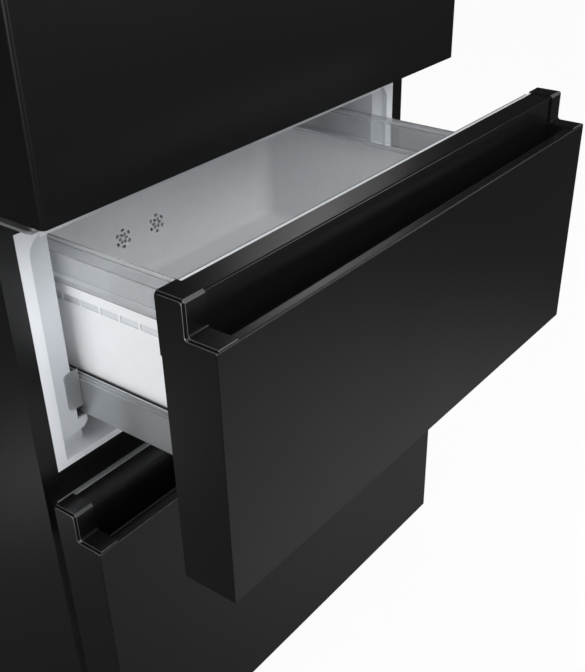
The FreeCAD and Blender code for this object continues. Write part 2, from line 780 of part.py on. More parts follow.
def front_skin(z0, height):
    """Steel sheet folded round the front, the stepped sides and the bottom edge."""
    top, depth = z0 + height, front_thickness - inner_panel
    side_top = top - cap_depth
    pan = block(-half, half, 0, depth, z0, side_top)
    face = block(-half, half, 0, sheet, side_top - 5, top - step_height - reveal)
    solid = pan.fuse(face).removeSplitter()
    solid = solid.makeFillet(edge_radius / 2, edges_along(solid, V(0, 0, 1), lambda p: p.y < 0.1))
    solid = solid.cut(block(-half + sheet, half - sheet, sheet, depth + 1, z0 + sheet, top))
    side = profile_along_x(step_outline(top, side_top - 5, sheet, depth, reveal), -half, -half + sheet)
    return joined([solid, side, mirrored(side)])


def front_foam(z0, height):
    top = z0 + height - step_height - trough_depth - handle_wall
    return block(-half + sheet, half - sheet, sheet, front_thickness - inner_panel, z0 + sheet, top)


def front_liner(z0, height):
    """White inner panel with the raised dyke that enters the cabinet."""
    back = front_thickness
    face = back - inner_panel
    side_top = z0 + height - cap_depth
    wide = block(-half + panel_inset, half - panel_inset, face, back, z0 + panel_inset, side_top)
    narrow = block(-half + cap_length, half - cap_length, face, back, side_top - 1, z0 + height - 1.5)
    dyke = soft_block(-half + dyke_inset, half - dyke_inset, back - 1, back + dyke_depth,
                      z0 + 2 * side_half, z0 + height - 1.2 * cap_depth, 14.0, V(0, 1, 0))
    return joined([wide, narrow, dyke])


def ring(inset, width, strip, z0, z1, y0, y1):
    outer = block(-half + inset, half - inset, y0, y1, z0, z1)
    inner = block(-half + inset + width, half - inset - width, y0 - 1, y1 + 1, z0 + strip, z1 - strip)
    return outer.cut(inner)


def gasket(z0, z1):
    """Magnetic seal: a hollow-looking bead on a narrower base strip."""
    back = cabinet_front - seat_gap
    low, high = z0 + gasket_margin, z1 - gasket_drop
    bead = ring(gasket_inset, gasket_width, gasket_strip, low, high, front_thickness + 3, back)
    base = ring(gasket_inset + 3, gasket_width - 6, gasket_strip - 6, low + 3, high - 3,
                front_thickness, front_thickness + 4)
    return joined([bead, base])


def handle_rail(z0, height):
    """Drawn profile: upright behind the step, finger trough and front lip behind the sheet's edge."""
    top = z0 + height - 1.5
    step = z0 + height - step_height
    bottom = step - trough_depth - handle_wall
    depth = front_thickness - inner_panel
    r = corner_radius
    section = [(sheet, bottom, 0), (depth, bottom, 0), (depth, top, 1.5), (step_depth, top, 2),
               (step_depth, step - trough_depth, r), (lip_width, step - trough_depth, r),
               (lip_width, step, 2), (sheet, step, 1)]
    rail = profile_along_x(section, -half + cap_length, half - cap_length)
    hollow = block(-half, half, step_depth + handle_wall, depth - handle_wall,
                   bottom + handle_wall, top - handle_wall)
    return rail.cut(hollow)


def end_caps(z0, height):
    """Moulded ends of the handle, set inside the sheet and a little proud of its edges and the rail."""
    top = z0 + height
    start = -half + sheet
    section = step_outline(top, top - cap_depth, sheet, front_thickness, 0)
    cap = profile_along_x(section, start, -half + cap_length)
    side = [edge for edge in cap.Edges if abs(edge.CenterOfMass.x - start) < 0.01
            and edge.CenterOfMass.z > top - step_height - 1 and edge.CenterOfMass.y < front_thickness - 0.01]
    return pair(cap.makeChamfer(reveal / 2, side))


# ---- drawer runners --------------------------------------------------------------------
def wall_profile(corners, y0, y1):
    """(u, z) outline measured from the left compartment wall, drawn along Y and paired."""
    return pair(profile_along_y([(-room_half + u, z, 0) for u, z in corners], y0, y1))


def rail_fixed(z0):
    """Trough-shaped cabinet member: wall leg, floor and the inner leg that the drawer rides on."""
    mid = z0 + rail_height
    low = mid - side_half - rail_floor_drop
    s = rail_sheet
    inner = side_offset + side_sheet + 1
    bracket_top, bracket_low = mid + bracket_rise, mid - bracket_fall
    leg_top = mid + inner_leg_rise
    section = [(0, low), (inner + s, low), (inner + s, leg_top), (inner, leg_top), (inner, low + s),
               (s, low + s), (s, bracket_top), (0, bracket_top)]
    rail = profile_along_y([(-room_half + u, z, 0) for u, z in section], rail_y, rail_y + rail_length)
    left, right = -room_half - bracket_reach, -room_half + side_offset - bracket_clear
    tab = profile_along_y([(left, bracket_low, 5), (right, bracket_low, 0), (right, bracket_top, 0),
                           (left, bracket_top, 5)], room_front - s, room_front)
    neck = block(-room_half, -room_half + s, room_front - s, rail_y + 1, bracket_low, bracket_top)
    return pair(joined([rail, tab, neck]))


def rail_middle(z0, extended):
    """Intermediate member, hooked over the inner leg."""
    mid = z0 + rail_height
    s = side_sheet * 1.2
    outer = side_offset + side_sheet + 0.6
    web = side_offset + side_sheet + 1 + rail_sheet + member_gap
    top, bottom = mid + inner_leg_rise + member_gap, mid - web_drop
    section = [(outer, top), (web, top), (web, bottom), (web + s, bottom), (web + s, top + s),
               (outer, top + s)]
    solid = wall_profile(section, rail_y, rail_y + rail_length)
    solid.translate(V(0, -extended / 2, 0))
    return solid


def drawer_sides(z0):
    """Metal drawer sides: stepped rim, runner shelf inside, basket flange and front tab."""
    mid = z0 + rail_height
    s = side_sheet
    out, inn = side_offset, side_offset + side_width
    shelf_low = mid + inner_leg_rise + member_gap + side_sheet * 1.2 + member_gap
    high, low = mid + side_half, mid - side_half
    flange = low + basket_shelf_rise
    rim, slot = out + side_rim_width, high - side_rim_depth
    section = [(out, low), (out, high - 7), (out + 1.2, high - 6), (out + 1.2, high - 3.5),
               (out + 2.4, high - 2.5), (out + 2.4, high), (rim, high), (rim, slot), (inn, slot),
               (inn, flange), (inn + basket_shelf, flange), (inn + basket_shelf, flange - s),
               (inn - s, flange - s), (inn - s, shelf_low),
               (inn - 6, shelf_low), (inn - 6, shelf_low + s), (inn - s, shelf_low + s),
               (inn - s, slot - s), (out + s, slot - s), (out + s, low)]
    rail = profile_along_y([(-room_half + u, z, 0) for u, z in section], front_thickness,
                           front_thickness + rail_length - 5)
    tab = block(-room_half + inn - s / 2, -room_half + inn + tab_width, front_thickness,
                front_thickness + 2 * s, flange - s / 2, slot)
    return pair(joined([rail, tab]))


# ---- baskets ---------------------------------------------------------------------------
def basket_half():
    return room_half - side_offset - side_width - basket_clear


def basket_floor(z0):
    return z0 + rail_height - side_half + basket_shelf_rise


def shell_box(half_width, y0, y1, z0, z1, wall, radius, floor_radius=0):
    """Outside and inside of an open tub with upright corners and, if asked, floor edges rounded."""
    outer = soft_block(-half_width, half_width, y0, y1, z0, z1, radius, V(0, 0, 1))
    inner = soft_block(-half_width + wall, half_width - wall, y0 + wall, y1 - wall, z0 + wall, z1 + 50,
                       radius - wall, V(0, 0, 1))
    if floor_radius:
        outer = outer.makeFillet(floor_radius, [e for e in outer.Edges if e.CenterOfMass.z < z0 + 0.01])
        inner = inner.makeFillet(floor_radius - wall / 2,
                                 [e for e in inner.Edges if e.CenterOfMass.z < z0 + wall + 0.01])
    return outer, inner


def petal(x, z, angle, length, width, y0, y1):
    """Pointed oval vent hole, as a cutter."""
    a, b = length / 2, width / 2
    slot = profile_along_y([(-a, 0, 0), (-a / 2, -b, 0), (a / 2, -b, 0), (a, 0, 0),
                            (a / 2, b, 0), (-a / 2, b, 0)], y0, y1)
    slot.rotate(V(0, 0, 0), V(0, 1, 0), -angle)
    slot.translate(V(x, 0, z))
    return slot


def rosette(x, z, y0, y1):
    """Six radial petals and a ring of six that lie along it."""
    cuts = []
    for ring_radius, length, first, turn in petal_rings:
        for i in range(6):
            angle = 60 * i + first
            a = math.radians(angle)
            cuts.append(petal(x + ring_radius * math.cos(a), z + ring_radius * math.sin(a),
                              angle + turn, length, petal_width, y0, y1))
    return cuts


def basket(z0, top, vents):
    """White tub: rim, a row of blind windows under it and, in the rear wall, two vents."""
    reach = basket_half()
    low = basket_floor(z0)
    high = z0 + top
    y1 = basket_back + basket_wall
    outer, inner = shell_box(reach, basket_front, y1, low, high, basket_wall, basket_radius,
                             basket_radius / 2 if vents else 0)
    rim = soft_block(-reach - rim_width, reach + rim_width, basket_front - 1, y1 + rim_width,
                     high - rim_height, high, basket_radius, V(0, 0, 1))
    solid = joined([outer, rim]).cut(inner)
    start = basket_front + basket_radius + window_margin
    count = int((basket_back - basket_radius - start) / window_pitch)
    cuts = []
    for i in range(count):
        y = start + window_pitch * i
        pocket = block(-reach - 1, -reach + window_depth, y, y + window_width,
                       high - rim_height - window_height, high - rim_height)
        cuts += [pocket, mirrored(pocket)]
    if vents:
        for x in (-vent_offset, vent_offset):
            cuts += rosette(x, z0 + vent_height_in_wall, basket_back - 1, y1 + 1)
    return solid.cut(Part.makeCompound(cuts))


def collar(z0, top):
    """Clear riser round the basket: outer skirt, broad top rim and inner skirt."""
    reach = basket_half() + rim_width + 4
    low, high = z0 + top, z0 + top + collar_height
    y0, y1 = basket_front - 2, basket_back + basket_wall + rim_width + 4
    r = basket_radius
    w = collar_wall
    outer = soft_block(-reach, reach, y0, y1, low + 2, high, r, V(0, 0, 1))
    void = soft_block(-reach + w, reach - w, y0 + w, y1 - w, low - 1, high - w, r - w, V(0, 0, 1))
    in_wall = soft_block(-reach + collar_rim - w, reach - collar_rim + w, y0 + collar_rim / 2 - w,
                         y1 - collar_rim + w, low, high + 4, r - w, V(0, 0, 1))
    hole = soft_block(-reach + collar_rim, reach - collar_rim, y0 + collar_rim / 2, y1 - collar_rim,
                      low - 2, high + 5, r - 2 * w, V(0, 0, 1))
    return joined([outer.cut(void), in_wall]).cut(hole)


def drawer(prefix, z0, height, basket_top, with_collar):
    put(prefix + "_front_skin", front_skin(z0, height))
    put(prefix + "_front_foam", front_foam(z0, height))
    put(prefix + "_front_liner", front_liner(z0, height))
    put(prefix + "_gasket", gasket(z0, z0 + height))
    put(prefix + "_handle_rail", handle_rail(z0, height))
    put(prefix + "_end_caps", end_caps(z0, height))
    put(prefix + "_drawer_sides", drawer_sides(z0))
    put(prefix + "_basket", basket(z0, basket_top, with_collar))
    if with_collar:
        put(prefix + "_collar", collar(z0, basket_top))


# ---- door ------------------------------------------------------------------------------
def door_plan(inset, z0, z1):
    """Door body in plan, with the grip groove in its right edge; inset shrinks it all round."""
    depth = front_thickness - inner_panel
    r = door_edge_radius
    body = profile_along_z([(-half + inset, inset, r), (half - inset, inset, r),
                            (half - inset, depth - inset, 0), (-half + inset, depth - inset, 0)], z0, z1)
    groove_front = (front_thickness - grip_width) / 2
    groove = soft_block(half - grip_depth - inset, half + 20, groove_front - inset,
                        groove_front + grip_width + inset, z0 - 1, z1 + 1, 4.0, V(0, 0, 1))
    return body.cut(groove)


def door_skin():
    low, high = door_bottom + cap_thickness, door_top - cap_thickness
    depth = front_thickness - inner_panel
    inside = door_plan(sheet, low - 1, high + 1)
    open_back = block(-half + sheet, half - grip_depth - 2 * sheet, depth - sheet - 1, depth + 1,
                      low - 1, high + 1)
    return door_plan(0, low, high).cut(inside).cut(open_back)


def door_foam():
    low, high = door_bottom + cap_thickness, door_top - cap_thickness
    depth = front_thickness - inner_panel
    body = door_plan(sheet, low, high)
    back = block(-half + sheet, half - grip_depth - 2 * sheet, depth - sheet - 1, depth, low, high)
    foam = joined([body, back])
    for start, end in ((low - 1, low + cap_boss), (high - cap_boss, high + 1)):
        foam = foam.cut(rod(boss_radius, V(hinge_pin_x, hinge_y, start), V(hinge_pin_x, hinge_y, end)))
    return foam


def door_end_caps():
    """Moulded top and bottom of the door, each bored for its hinge pin."""
    pin = V(hinge_pin_x, hinge_y, 0)
    sockets = []
    for edge, inward in ((door_bottom, 1), (door_top, -1)):
        inner = edge + inward * cap_thickness
        cap = door_plan(0, min(edge, inner), max(edge, inner))
        boss = rod(boss_radius, pin + V(0, 0, edge + inward * cap_thickness / 2),
                   pin + V(0, 0, inner + inward * cap_boss))
        bore = rod(pin_radius + pin_clear, pin + V(0, 0, edge - inward),
                   pin + V(0, 0, inner + inward * (cap_boss - 1)))
        sockets.append(joined([cap, boss]).cut(bore))
    return Part.makeCompound(sockets)


def door_liner():
    """Inner panel with two upright ribs, a bottom rib and the lugs that carry the bins."""
    face, back = front_thickness - inner_panel, front_thickness
    panel = block(-half + panel_inset, half - panel_inset, face, back,
                  door_bottom + panel_inset, door_top - panel_inset)
    rib_low, rib_high = fridge_floor + floor_inset, fridge_ceiling - floor_inset
    ribs = []
    for side in (-1, 1):
        x0 = side * (half - rib_inset)
        x1 = side * (half - rib_inset - rib_width)
        ribs.append(soft_block(min(x0, x1), max(x0, x1), back - 1, back + rib_depth, rib_low, rib_high,
                               8.0, V(0, 1, 0)))
        for level in bin_levels:
            lug = side * (half - rib_inset - rib_width - 5)
            ribs.append(block(min(x1, lug), max(x1, lug), back - 1, back + rib_depth - 4,
                              level - 10, level))
    ribs.append(block(-half + rib_inset + 5, half - rib_inset - 5, back - 1, back + rib_depth,
                      rib_low, rib_low + rib_width))
    return joined([panel] + ribs)


def door_bin(level):
    """Bottle bin hung between the ribs, with a raised guard along its front."""
    reach = half - rib_inset - rib_width - seat_gap
    y0, y1 = front_thickness + seat_gap, front_thickness + seat_gap + bin_depth
    outer, inner = shell_box(reach, y0, y1, level, level + bin_height, bin_wall, 18.0)
    low_back = block(-reach + 25, reach - 25, y0 - 1, y0 + bin_wall + 1, level + bin_height * 0.55,
                     level + bin_height + 1)
    bead = block(-reach + 18, reach - 18, y1 - bin_wall - 2, y1 + 1.5, level + bin_height - 6,
                 level + bin_height)
    return joined([outer.cut(inner).cut(low_back), bead])


def door_gasket():
    """Door seal, set inside the hinge line so that it swings clear of the cabinet."""
    back = cabinet_front - seat_gap
    inset = hinge_x + seat_gap
    low, high = door_bottom + gasket_margin + 1, door_top - gasket_margin - 1
    bead = ring(inset, gasket_width, gasket_strip, low, high, front_thickness + 3, back)
    base = ring(inset + 3, gasket_width - 6, gasket_strip - 6, low + 3, high - 3,
                front_thickness, front_thickness + 4)
    return joined([bead, base])


def main():
    put("outer_case", outer_case())
    put("rear_panel", rear_panel())
    put("insulation_foam", insulation_foam())
    put("fridge_liner", fridge_liner())
    put("upper_freezer_liner", freezer_liner(mid_zone, liner_back, mid_front_bottom))
    put("lower_freezer_liner", freezer_liner(low_zone, low_back, low_front_bottom))
    put("lower_crossbar", crossbar(*bar_spans()[0]))
    put("middle_crossbar", crossbar(*bar_spans()[1]))
    put("base_pan", base_pan())
    put("kick_grille", kick_grille())
    for name, side in (("left", -1), ("right", 1)):
        put("foot_" + name, foot(side))
        put("roller_" + name, roller(side))
        put("crisper_" + name, crisper(side))
    put("machine_cover", machine_cover())
    put("compressor", compressor())
    put("condenser_coil", condenser_coil())
    put("condenser_fan", condenser_fan())
    put("evaporator", evaporator())
    put("evaporator_fan", evaporator_fan())
    put("evaporator_cover", evaporator_cover())
    put("air_duct_cover", air_duct_cover())
    put("control_panel", control_panel())
    put("crisper_shelf", shelf(crisper_top + seat_gap))
    put("shelf_lower", shelf(shelf_levels[0]))
    put("shelf_upper", shelf(shelf_levels[1]))
    put("middle_hinge", middle_hinge())
    put("top_hinge", top_hinge())
    put("top_hinge_cover", top_hinge_cover())
    put("door_skin", door_skin())
    put("door_foam", door_foam())
    put("door_liner", door_liner())
    put("door_gasket", door_gasket())
    put("door_end_caps", door_end_caps())
    for name, level in zip(("lower", "middle", "upper"), bin_levels):
        put("bin_" + name, door_bin(level))
    put("low_rail_fixed", rail_fixed(low_front_bottom))
    put("low_rail_middle", rail_middle(low_front_bottom, 0))
    drawer("low", low_front_bottom, low_front_height, low_basket_top, False)
    put("mid_rail_fixed", rail_fixed(mid_front_bottom))
    put("mid_rail_middle", rail_middle(mid_front_bottom, drawer_open))
    before = set(parts)
    drawer("mid", mid_front_bottom, mid_front_height, mid_basket_top, True)
    for name in set(parts) - before:
        parts[name].translate(V(0, -drawer_open, 0))

    os.makedirs("parts", exist_ok=True)
    for name, shape in sorted(parts.items()):
        shape = shape.copy()
        shape.translate(V(0, -origin_y, 0))
        shape.exportStep("parts/" + name + ".step")


main()
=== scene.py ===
"""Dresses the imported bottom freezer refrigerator.

Finishes, softened edges, small fittings and the studio. Lengths are in metres; the front faces -Y.
"""

import json
import math

import bmesh
import bpy
from mathutils import Matrix, Vector


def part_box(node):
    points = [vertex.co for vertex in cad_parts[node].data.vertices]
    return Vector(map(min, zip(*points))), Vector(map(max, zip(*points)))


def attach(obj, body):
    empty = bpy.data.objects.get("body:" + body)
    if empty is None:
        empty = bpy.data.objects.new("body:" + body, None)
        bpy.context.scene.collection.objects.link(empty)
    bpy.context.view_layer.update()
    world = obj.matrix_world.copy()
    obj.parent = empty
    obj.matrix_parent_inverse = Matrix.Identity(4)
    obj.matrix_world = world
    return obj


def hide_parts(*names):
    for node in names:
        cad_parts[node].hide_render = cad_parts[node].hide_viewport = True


bl_info = {
    "name": "Bottom freezer refrigerator",
    "version": (1, 0, 0),
    "blender": (4, 5, 0),
    "location": "3D View > Sidebar > Refrigerator",
    "description": "Finishes and fits out a refrigerator with one door above two drawn-out freezer drawers",
    "category": "Object",
}

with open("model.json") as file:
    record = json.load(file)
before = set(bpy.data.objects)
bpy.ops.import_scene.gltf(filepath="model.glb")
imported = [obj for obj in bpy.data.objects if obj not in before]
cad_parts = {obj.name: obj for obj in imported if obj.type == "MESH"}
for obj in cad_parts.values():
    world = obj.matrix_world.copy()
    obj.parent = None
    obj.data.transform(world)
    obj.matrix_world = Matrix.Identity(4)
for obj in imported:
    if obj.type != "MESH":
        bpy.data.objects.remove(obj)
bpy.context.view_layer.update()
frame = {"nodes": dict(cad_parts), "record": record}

PHOTO_LONG_SIDE = 672.0  # pixels
SENSOR = 36.0  # mm
NEAREST, FARTHEST = 0.02, 60.0
FLOOR_REACH = 8.0
# Painted reflections, soft glowing spots of the floor that only mirroring surfaces see: centre, reach,
# brightness.
FLOOR_PATCHES = (
    ((0.35, -0.90), 1.30, 0.38),
    ((-0.95, 0.35), 0.90, 0.08),
    ((-0.85, 0.43), 0.32, 0.70),
    ((1.50, -6.00), 4.50, 0.40),
)
# Name, place, diameter, watts.
LAMPS = (
    ("key_lamp", (-2.5, -0.4, 1.5), 1.8, 31.0),
    ("front_lamp", (-1.2, -3.0, 1.2), 1.8, 10.0),
    ("fill_lamp", (2.4, -2.6, 1.6), 1.3, 14.0),
    ("top_lamp", (-0.3, -2.4, 2.8), 1.8, 56.0),
    ("back_lamp", (0.8, 3.0, 2.4), 2.4, 20.0),
)
HANDLE_CARD = ("handle_card", (0.742, 0.28, 1.27), 0.26, 1.1)
AIM = Vector((0.0, 0.0, 0.9))

DRAWERS = ("mid", "low")
WELD = 1e-5
CREASE, SHARP_EDGE = math.radians(32), math.radians(50)
SEAL_SIDES, SEAL_STRIP = 0.016, 0.014
# Half of a seal's section: share of its width, share of its depth, whether a groove lies there.
SEAL_HALF = (
    (0.22, 0.0, False), (0.22, 0.22, False), (0.0, 0.30, False), (0.0, 0.48, False), (0.0, 0.54, True),
    (0.0, 0.60, False), (0.0, 0.74, False), (0.0, 0.80, True), (0.0, 0.86, False), (0.0, 0.95, False),
    (0.05, 1.0, False), (0.38, 1.0, False), (0.42, 0.92, False),
)
SIDE_RIM, STRIP_END, STRIP_ROUND = 0.0045, 0.004, 0.0003
# Ridges of a black strip of painted shade in the slot: start and end across the slot, height as a share of
# its depth.
STRIP_RIDGES = ((0.0, 0.92, 0.78), (0.30, 0.52, 1.0))
SHEET, STEP_DEPTH, STEP_HEIGHT, CUT_EDGE_REACH = 0.001, 0.036, 0.036, 0.006
CAP_LENGTH, CAP_PROUD, CORNER_RADIUS = 0.027, 0.002, 0.004
SLANTED = (math.radians(25), math.radians(65))
WINDOW_PLANE = 0.0065
LINER_SILL, LEDGE_DEPTH, LIP_INSET, LIP_ROUND = 0.008, 0.006, 0.030, 0.0004
X, Y, Z = Vector((1.0, 0.0, 0.0)), Vector((0.0, 1.0, 0.0)), Vector((0.0, 0.0, 1.0))


# ---- settings ----------------------------------------------------------------------------
def colour(name, text, value):
    return bpy.props.FloatVectorProperty(name=name, description=text, subtype="COLOR", size=3,
                                         min=0.0, max=1.0, default=value)


def length(name, text, value):
    return bpy.props.FloatProperty(name=name, description=text, default=value, min=0.0, unit="LENGTH")


def factor(name, text, value):
    return bpy.props.FloatProperty(name=name, description=text, default=value, min=0.0, max=1.0,
                                   subtype="FACTOR")


class RefrigeratorFinishes(bpy.types.PropertyGroup):
    """Colours and gloss of the refrigerator's surfaces."""
    case_black: colour("Case black", "Painted steel of the case and fronts", (0.0024, 0.0025, 0.0028))
    handle_black: colour("Handle black", "Profile of the drawer handles", (0.0048, 0.0046, 0.0044))
    cap_black: colour("Cap black", "Moulded ends of the handles and door", (0.0048, 0.0046, 0.0045))
    liner_white: colour("Liner white", "Formed sheet inside the compartments", (0.78, 0.80, 0.83))
    # Painted shade: a darker copy of the liner white for the recessed ledge.
    shaded_ledge_white: colour("Shaded ledge white", "Painted shade on the recessed ledge round a freezer room", (0.60, 0.625, 0.66))
    basket_white: colour("Basket white", "Moulded baskets", (0.86, 0.875, 0.89))
    # Painted highlight: a lighter grey that stands for the glints along the edges of the handle ends.
    edge_highlight_grey: colour("Painted edge highlight", "Painted highlights along the edges of the black mouldings", (0.085, 0.085, 0.085))
    # Painted shade: a darker copy of the basket white for the recessed faces of the blind windows.
    window_shade_white: colour("Window shade white", "Painted shade in the blind windows under a basket's rim", (0.68, 0.70, 0.72))
    clear_tint: colour("Clear tint", "Clear collars, bins and crispers", (0.95, 0.965, 0.98))
    glass_tint: colour("Glass tint", "Toughened shelves", (0.86, 0.95, 0.93))
    zinc: colour("Zinc", "Runners and drawer sides", (0.58, 0.60, 0.615))
    seal_grey: colour("Seal grey", "Magnetic seals", (0.20, 0.205, 0.21))
    black_gloss: factor("Black roughness", "Roughness of the painted fronts", 0.33)


class RefrigeratorDetail(bpy.types.PropertyGroup):
    """Small sizes that finish the pieces."""
    sheet_round: length("Sheet edge", "Radius along folded sheet edges", 0.0003)
    moulded_round: length("Moulded edge", "Radius along moulded edges", 0.0006)
    handle_round: length("Handle edge", "Radius along the handle profiles", 0.001)
    cap_chamfer: length("Cap chamfer", "Slope between a handle's moulded end and the sheet", 0.003)
    cap_crest: length("Cap crest", "Slope along the top front edge of a moulded end", 0.0026)
    cap_lip: length("Cap lip", "Slope along the front edge of a moulded end", 0.0006)
    cap_round: length("Cap edge", "Radius along these slopes", 0.0003)
    lip_fall: length("Opening lip", "Fall of the rolled lip under a liner's top flange", 0.0043)
    seal_rib: length("Seal rib", "Depth of the grooves along a seal", 0.0011)
    slot_width: length("Slot", "Width of the slot between a drawer side and its basket", 0.0055)
    slot_depth: length("Slot depth", "Depth of that slot", 0.008)
    hinge_trim: length("Hinge trim", "Cut-back of the middle hinge's plate", 0.0085)
    metal_round: length("Metal edge", "Radius along rolled metal edges", 0.0003)


class RefrigeratorStudio(bpy.types.PropertyGroup):
    """Camera and lamps."""
    camera_place: bpy.props.FloatVectorProperty(
        name="Camera place", description="Where the camera stands", subtype="TRANSLATION", size=3,
        default=(-0.839, -0.901, 1.168))
    camera_azimuth: bpy.props.FloatProperty(
        name="Azimuth", description="Turn of the camera round the object", subtype="ANGLE",
        default=math.radians(-52.56))
    camera_elevation: bpy.props.FloatProperty(
        name="Elevation", description="Angle of the camera above level", subtype="ANGLE",
        default=math.radians(33.14))
    camera_roll: bpy.props.FloatProperty(
        name="Roll", description="Roll of the camera", subtype="ANGLE", default=math.radians(-0.92))
    focal_pixels: bpy.props.FloatProperty(
        name="Focal length", description="Focal length in pixels of the picture", default=985.0)
    shift: bpy.props.FloatVectorProperty(
        name="Shift", description="Shift of the picture on the sensor", size=2, default=(-0.0247, 0.0857))
    lamp_power: bpy.props.FloatProperty(name="Lamps", description="Power of the soft lamps", default=1.0)
    sky_strength: bpy.props.FloatProperty(name="Sky", description="Light from all round", default=0.40)
    floor_white: factor("Floor white", "Share of plain white in the floor as the camera sees it", 0.94)
    wall_white: factor("Mirrored white", "Brightness of the surroundings in mirroring surfaces", 0.03)


def finishes():
    return bpy.context.scene.refrigerator_finishes


def detail():
    return bpy.context.scene.refrigerator_detail


def studio():
    return bpy.context.scene.refrigerator_studio


# ---- finishes ----------------------------------------------------------------------------
class Finish:
    """A node material with a principled shader, built up step by step."""

    def __init__(self, name, base, roughness, specular=0.5, metallic=0.0):
        self.material = bpy.data.materials.new(name)
        self.material.use_nodes = True
        self.nodes = self.material.node_tree.nodes
        self.links = self.material.node_tree.links
        self.shader = self.nodes["Principled BSDF"]
        self.base = base
        self.shader.inputs["Base Color"].default_value = (*base, 1.0)
        self.shader.inputs["Roughness"].default_value = roughness
        self.shader.inputs["Specular IOR Level"].default_value = specular
        self.shader.inputs["Metallic"].default_value = metallic
        self.material.diffuse_color = (*base, 1.0)
        self.place = self.nodes.new("ShaderNodeTexCoord").outputs["Object"]
        self.bumps = None

    def set(self, **values):
        for name, value in values.items():
            self.shader.inputs[name.replace("_", " ")].default_value = value
        return self

    def stretched(self, scale):
        mapping = self.nodes.new("ShaderNodeMapping")
        mapping.inputs["Scale"].default_value = scale
        self.links.new(self.place, mapping.inputs["Vector"])
        return mapping.outputs["Vector"]

    def noise(self, scale, detail_levels=3.0, stretch=None):
        noise = self.nodes.new("ShaderNodeTexNoise")
        noise.inputs["Scale"].default_value = scale
        noise.inputs["Detail"].default_value = detail_levels
        self.links.new(self.stretched(stretch) if stretch else self.place, noise.inputs["Vector"])
        return noise.outputs["Fac"]

    def cells(self, scale):
        cells = self.nodes.new("ShaderNodeTexVoronoi")
        cells.inputs["Scale"].default_value = scale
        self.links.new(self.place, cells.inputs["Vector"])
        return cells.outputs["Distance"]

    def spread(self, source, low, high):
        """Maps 0..1 to low..high."""
        ranged = self.nodes.new("ShaderNodeMapRange")
        ranged.inputs["To Min"].default_value = low
        ranged.inputs["To Max"].default_value = high
        self.links.new(source, ranged.inputs["Value"])
        return ranged.outputs["Result"]

    def varied_roughness(self, source, low, high):
        self.links.new(self.spread(source, low, high), self.shader.inputs["Roughness"])
        return self

    def varied_colour(self, source, share):
        """Lightens and darkens the base colour by the share, following the source."""
        mix = self.nodes.new("ShaderNodeMix")
        mix.data_type = "RGBA"
        mix.inputs["A"].default_value = (*[max(0.0, c * (1 - share)) for c in self.base], 1.0)
        mix.inputs["B"].default_value = (*[min(1.0, c * (1 + share)) for c in self.base], 1.0)
        self.links.new(source, mix.inputs["Factor"])
        self.links.new(mix.outputs["Result"], self.shader.inputs["Base Color"])
        return self

    def bump(self, source, depth, strength=1.0):
        bump = self.nodes.new("ShaderNodeBump")
        bump.inputs["Strength"].default_value = strength
        bump.inputs["Distance"].default_value = depth
        self.links.new(source, bump.inputs["Height"])
        if self.bumps is not None:
            self.links.new(self.bumps, bump.inputs["Normal"])
        self.bumps = bump.outputs["Normal"]
        self.links.new(self.bumps, self.shader.inputs["Normal"])
        return self


def painted_black(name, base, roughness, specular=0.5):
    """Powder-fine paint: faint orange peel, soft clouds in the gloss."""
    paint = Finish(name, base, roughness, specular=specular)
    paint.bump(paint.noise(900.0, 2.0), 0.00002, 0.35)
    paint.varied_roughness(paint.noise(7.0, 4.0), roughness - 0.04, roughness + 0.05)
    return paint.varied_colour(paint.noise(240.0, 2.0), 0.08)


def moulded(name, base, roughness, grain_depth=0.00003, grain_scale=1400.0, specular=0.4):
    """Moulded plastic with a fine eroded grain."""
    plastic = Finish(name, base, roughness, specular=specular)
    plastic.bump(plastic.noise(grain_scale, 3.0), grain_depth, 0.5)
    plastic.varied_roughness(plastic.noise(26.0, 3.0), roughness - 0.05, roughness + 0.06)
    return plastic.varied_colour(plastic.noise(60.0, 2.0), 0.03)


def formed_sheet(name, base, roughness):
    """Vacuum-formed sheet: gently wavy, soft gloss."""
    sheet = Finish(name, base, roughness, specular=0.45)
    sheet.bump(sheet.noise(14.0, 2.0), 0.0006, 0.18)
    sheet.bump(sheet.noise(700.0, 2.0), 0.00001, 0.3)
    sheet.varied_roughness(sheet.noise(18.0, 3.0), roughness - 0.04, roughness + 0.05)
    return sheet.varied_colour(sheet.noise(5.0, 2.0), 0.015)


def zinc_coated(name, base, roughness):
    """Galvanised strip: spangle, faint rolling lines."""
    zinc = Finish(name, base, roughness, metallic=0.85)
    zinc.varied_colour(zinc.noise(40.0, 3.0, (1.0, 0.25, 1.0)), 0.03)
    zinc.varied_roughness(zinc.noise(24.0, 3.0, (1.0, 0.2, 1.0)), roughness - 0.03, roughness + 0.05)
    return zinc.bump(zinc.noise(420.0, 2.0, (1.0, 0.05, 1.0)), 0.000002, 0.08)


def clear(name, base, roughness, ior, passing=1.0):
    """Clear plastic or glass with a faint mould haze; passing is the share of light let through."""
    glassy = Finish(name, base, roughness, specular=0.5)
    glassy.set(Transmission_Weight=passing, IOR=ior)
    glassy.bump(glassy.noise(30.0, 2.0), 0.0001, 0.1)
    return glassy.varied_roughness(glassy.noise(40.0, 3.0), max(0.0, roughness - 0.02), roughness + 0.03)


def finned(name, base):
    """Pressed aluminium fins, too fine to model one by one; colour bands of painted shade darken the grooves
    between them.
    """
    fins = Finish(name, base, 0.42, metallic=1.0)
    wave = fins.nodes.new("ShaderNodeTexWave")
    wave.bands_direction = "X"
    wave.inputs["Scale"].default_value = 70.0
    fins.links.new(fins.place, wave.inputs["Vector"])
    fins.varied_colour(wave.outputs["Fac"], 0.35)
    return fins.bump(wave.outputs["Fac"], 0.0008, 0.6)


def foamed(name, base):
    """Rigid foam skin with open cells."""
    foam = Finish(name, base, 0.85, specular=0.2)
    foam.bump(foam.cells(420.0), 0.0006, 0.6)
    return foam.varied_colour(foam.noise(22.0, 4.0), 0.12)


